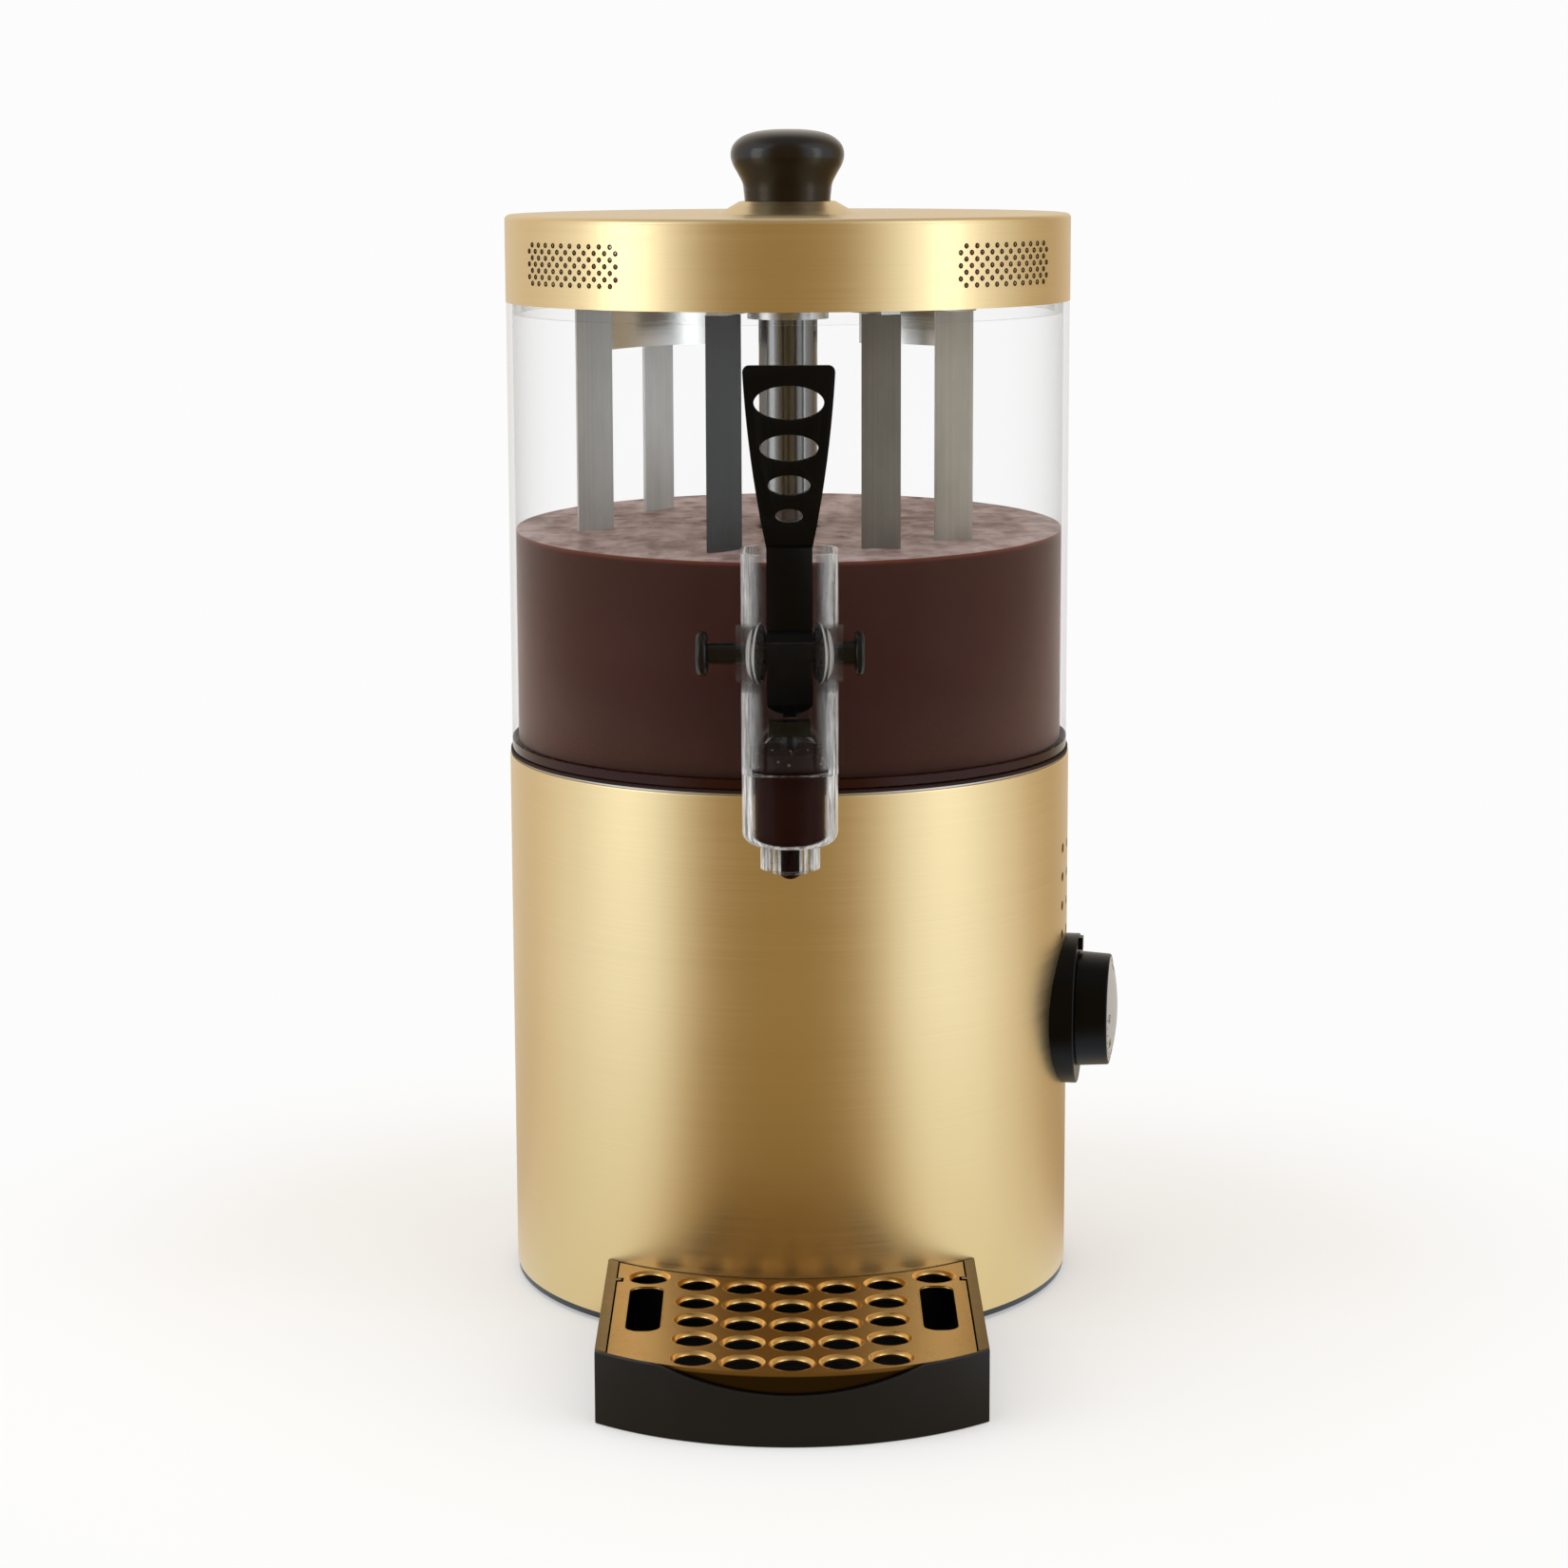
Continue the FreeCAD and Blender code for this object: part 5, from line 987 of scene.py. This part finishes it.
class DISPENSER_OT_dial_scale(bpy.types.Operator):
    """Print marks and plain numbers on the dial, which pass under the bezel's tab as it turns"""

    bl_idname = "dispenser.dial_scale"
    bl_label = "Dial scale"

    def execute(self, context):
        made = settings(context).dial
        ink = moulded("dial_ink", tuple(made.ink), 0.5)

        def build(tree, inputs):
            size = tree.vector(inputs["Length"], inputs["Width"], 2 * SKIN)
            return turned_copies(tree, inputs, tree.add("GeometryNodeMeshCube", {"Size": size}))

        angles = [QUARTER_TURN - made.sweep * index / (made.ticks - 1) for index in range(made.ticks)]
        places = [(made.tick_radius * math.cos(angle), made.tick_radius * math.sin(angle), 0) for angle in angles]
        marks = grown("dial_marks", spots("marks", places, angles), ink, {
            "Length": made.tick_length, "Width": made.tick_width}, build)
        print_on_cap(marks, made)
        piece("dial_marks", marks, ink, "dial", smooth=False)
        figures = ("0", "30", "40", "50", "60", "70", "80", "90")
        for index, figure in enumerate(figures):
            angle = QUARTER_TURN - made.sweep * index / (len(figures) - 1)
            mesh = self.figure(figure, made.figure_height)
            mesh.transform(Matrix.Rotation(angle, 4, "Z") @ Matrix.Translation((made.figure_radius, 0, 0))
                           @ Matrix.Rotation(-QUARTER_TURN, 4, "Z"))
            print_on_cap(mesh, made)
            piece(f"dial_number_{figure}", mesh, ink, "dial", smooth=False)
        return {"FINISHED"}

    def figure(self, text, height):
        """A number as a flat mesh, centred on the origin."""
        drawing = bpy.data.curves.new("figure", "FONT")
        drawing.body = text
        drawing.size = height * 1.35  # a figure is shorter than its font's line
        drawing.extrude = SKIN
        drawing.align_x = drawing.align_y = "CENTER"
        return settled(linked("figure", drawing))


# Stage
def lamp(label, place, size, power, mirrored=True):
    """A soft rectangular lamp that faces the machine's middle, and may be kept out of its reflections."""
    light = bpy.data.lights.new(label, "AREA")
    light.shape = "RECTANGLE"
    light.size, light.size_y = size
    light.energy = power
    thing = linked(label, light)
    thing.location = place
    thing.rotation_euler = (Vector((0, 0, 0.3)) - Vector(place)).to_track_quat("-Z", "Y").to_euler()
    thing.visible_glossy = mirrored


def studio(tree, x, y):
    """The studio's light from a direction round the machine: dark and warm in front, bright and cool aside."""
    azimuth = x.math("ARCTAN2", x, 0 - y)
    stops = []
    for angle, level in STUDIO:
        warm = max(0.0, 1 - level) * 0.72
        cool = 0.18 if level >= 0.95 else 0.0
        stops.append(((angle + 180) / 360, (level, level * (1 - 0.6 * warm + cool / 2),
                                            level * (1 - 1.4 * warm + cool), 1)))
    return tree.add("ShaderNodeValToRGB", {"Fac": azimuth.within(-math.pi, math.pi)}, stops=stops)


def rays(tree):
    """Whether a ray comes from the camera, also through clear plastic, and whether it is a reflection."""
    path = tree.place("ShaderNodeLightPath")
    camera, through, mirrored = (Value(tree, path.outputs[f"Is {kind} Ray"])
                                 for kind in ("Camera", "Transmission", "Glossy"))
    return camera.math("MAXIMUM", camera, through), mirrored


class DISPENSER_OT_stage(bpy.types.Operator):
    """Set the pale floor and backdrop, the lamps and the camera"""

    bl_idname = "dispenser.stage"
    bl_label = "Stage"

    def execute(self, context):
        made = settings(context).stage
        right_share = 0.6
        self.lay_floor(made)
        self.light_room(context, made)
        lamp("left_softbox", (-1.7, -0.75, 0.8), (0.8, 1.5), made.side_power)
        lamp("right_softbox", (1.6, -0.8, 0.8), (0.5, 1.5), made.side_power * right_share)
        lamp("top_softbox", (0, -0.2, 2.0), (1.4, 1.0), made.top_power, mirrored=False)
        self.set_camera(context, made)
        context.scene.view_settings.view_transform = "Standard"
        return {"FINISHED"}

    def lay_floor(self, made):
        """A pale floor that keeps the shadow near the machine and runs out into the backdrop."""
        pale = Finish("pale_stage", tuple(made.pale), specular_ior_level=0.0)
        pale.set("Roughness", 0.9)
        x, y = pale.here()[:2]
        seen, mirrored = rays(pale)
        forward, least, begin = 0.05, 0.35, 0.6  # middle of the shadow, the backdrop's share there, its first radius
        away = (x * x + (y + forward) * (y + forward)) ** 0.5
        far = seen * (least + (1 - least) * away.within(made.shadow_reach * begin, made.shadow_reach))
        glow = pale.add("ShaderNodeEmission", {"Strength": made.backdrop})
        lamps = pale.add("ShaderNodeEmission", {"Color": studio(pale, x, y), "Strength": made.room})
        ground = pale.add("ShaderNodeMixShader", {0: far, 1: pale.shader.outputs[0], 2: glow})
        pale.surface(pale.add("ShaderNodeMixShader", {0: mirrored, 1: ground, 2: lamps}))
        aside, behind = 8, 12
        floor = bpy.data.meshes.new("floor")
        floor.from_pydata([(-aside, -aside, 0), (aside, -aside, 0), (aside, behind, 0), (-aside, behind, 0)], [],
                          [(0, 1, 2, 3)])
        floor.materials.append(pale.material)
        linked("floor", floor)

    def light_room(self, context, made):
        """The room's light, which the camera and clear plastic see as a pale backdrop."""
        world = bpy.data.worlds.new("room")
        world.use_nodes = True
        context.scene.world = world
        room = Tree(world.node_tree)
        x, y, z = room.parts(room.add("ShaderNodeTexCoord", output="Generated"))
        seen, mirrored = rays(room)
        dim, rise, full = 0.35, 0.75, 0.95  # the ceiling in a reflection, and the slope at which it takes over
        above = made.ceiling - (made.ceiling - dim) * mirrored
        level = room.blend(z.within(rise, full), studio(room, x, y), room.vector(above, above, above))
        lit = room.add("ShaderNodeBackground", {"Color": level, "Strength": made.room})
        pale = room.add("ShaderNodeBackground", {"Color": (1, 1, 1, 1), "Strength": made.backdrop})
        room.surface(room.add("ShaderNodeMixShader", {0: seen, 1: lit, 2: pale}), "World Output")

    def set_camera(self, context, made):
        """The camera in front of the machine."""
        camera = bpy.data.cameras.new("camera")
        camera.sensor_width = 36
        camera.lens = made.lens
        camera.shift_y = made.shift
        camera.clip_start, camera.clip_end = 0.05, 50
        thing = linked("camera", camera)
        turn = Matrix.Rotation(QUARTER_TURN - made.pitch, 3, "X") @ Matrix.Rotation(made.roll, 3, "Z")
        thing.rotation_euler = turn.to_euler()
        thing.location = (made.aside, -made.distance, made.height)
        context.scene.camera = thing


OPERATORS = (DISPENSER_OT_gold_parts, DISPENSER_OT_steel_parts, DISPENSER_OT_plastic_parts,
             DISPENSER_OT_clear_parts, DISPENSER_OT_drink, DISPENSER_OT_tap_bubbles, DISPENSER_OT_lever,
             DISPENSER_OT_tray, DISPENSER_OT_grid_dimples, DISPENSER_OT_vent_edges, DISPENSER_OT_dial_scale,
             DISPENSER_OT_stage)


class DispenserSettings(bpy.types.PropertyGroup):
    """All settings of the dispenser."""

    finishes: bpy.props.PointerProperty(type=FinishSettings)
    drink: bpy.props.PointerProperty(type=DrinkSettings)
    grid: bpy.props.PointerProperty(type=GridSettings)
    vents: bpy.props.PointerProperty(type=VentSettings)
    dial: bpy.props.PointerProperty(type=DialSettings)
    stage: bpy.props.PointerProperty(type=StageSettings)


class DISPENSER_PT_panel(bpy.types.Panel):
    """Lists the pieces and the stage"""

    bl_idname = "DISPENSER_PT_panel"
    bl_label = "Dispenser"
    bl_space_type = "VIEW_3D"
    bl_region_type = "UI"
    bl_category = "Dispenser"

    def draw(self, context):
        for operator in OPERATORS:
            self.layout.operator(operator.bl_idname)


CLASSES = (FinishSettings, DrinkSettings, GridSettings, VentSettings, DialSettings, StageSettings, DispenserSettings,
           *OPERATORS, DISPENSER_PT_panel)


def register():
    """Register the classes and the scene's settings."""
    for kind in CLASSES:
        bpy.utils.register_class(kind)
    bpy.types.Scene.dispenser = bpy.props.PointerProperty(type=DispenserSettings)


def unregister():
    """Take the classes and settings away again."""
    del bpy.types.Scene.dispenser
    for kind in reversed(CLASSES):
        bpy.utils.unregister_class(kind)


def main():
    """Make every piece and the stage."""
    register()
    for operator in OPERATORS:
        family, name = operator.bl_idname.split(".")
        getattr(getattr(bpy.ops, family), name)()


if __name__ == "__main__":
    main()
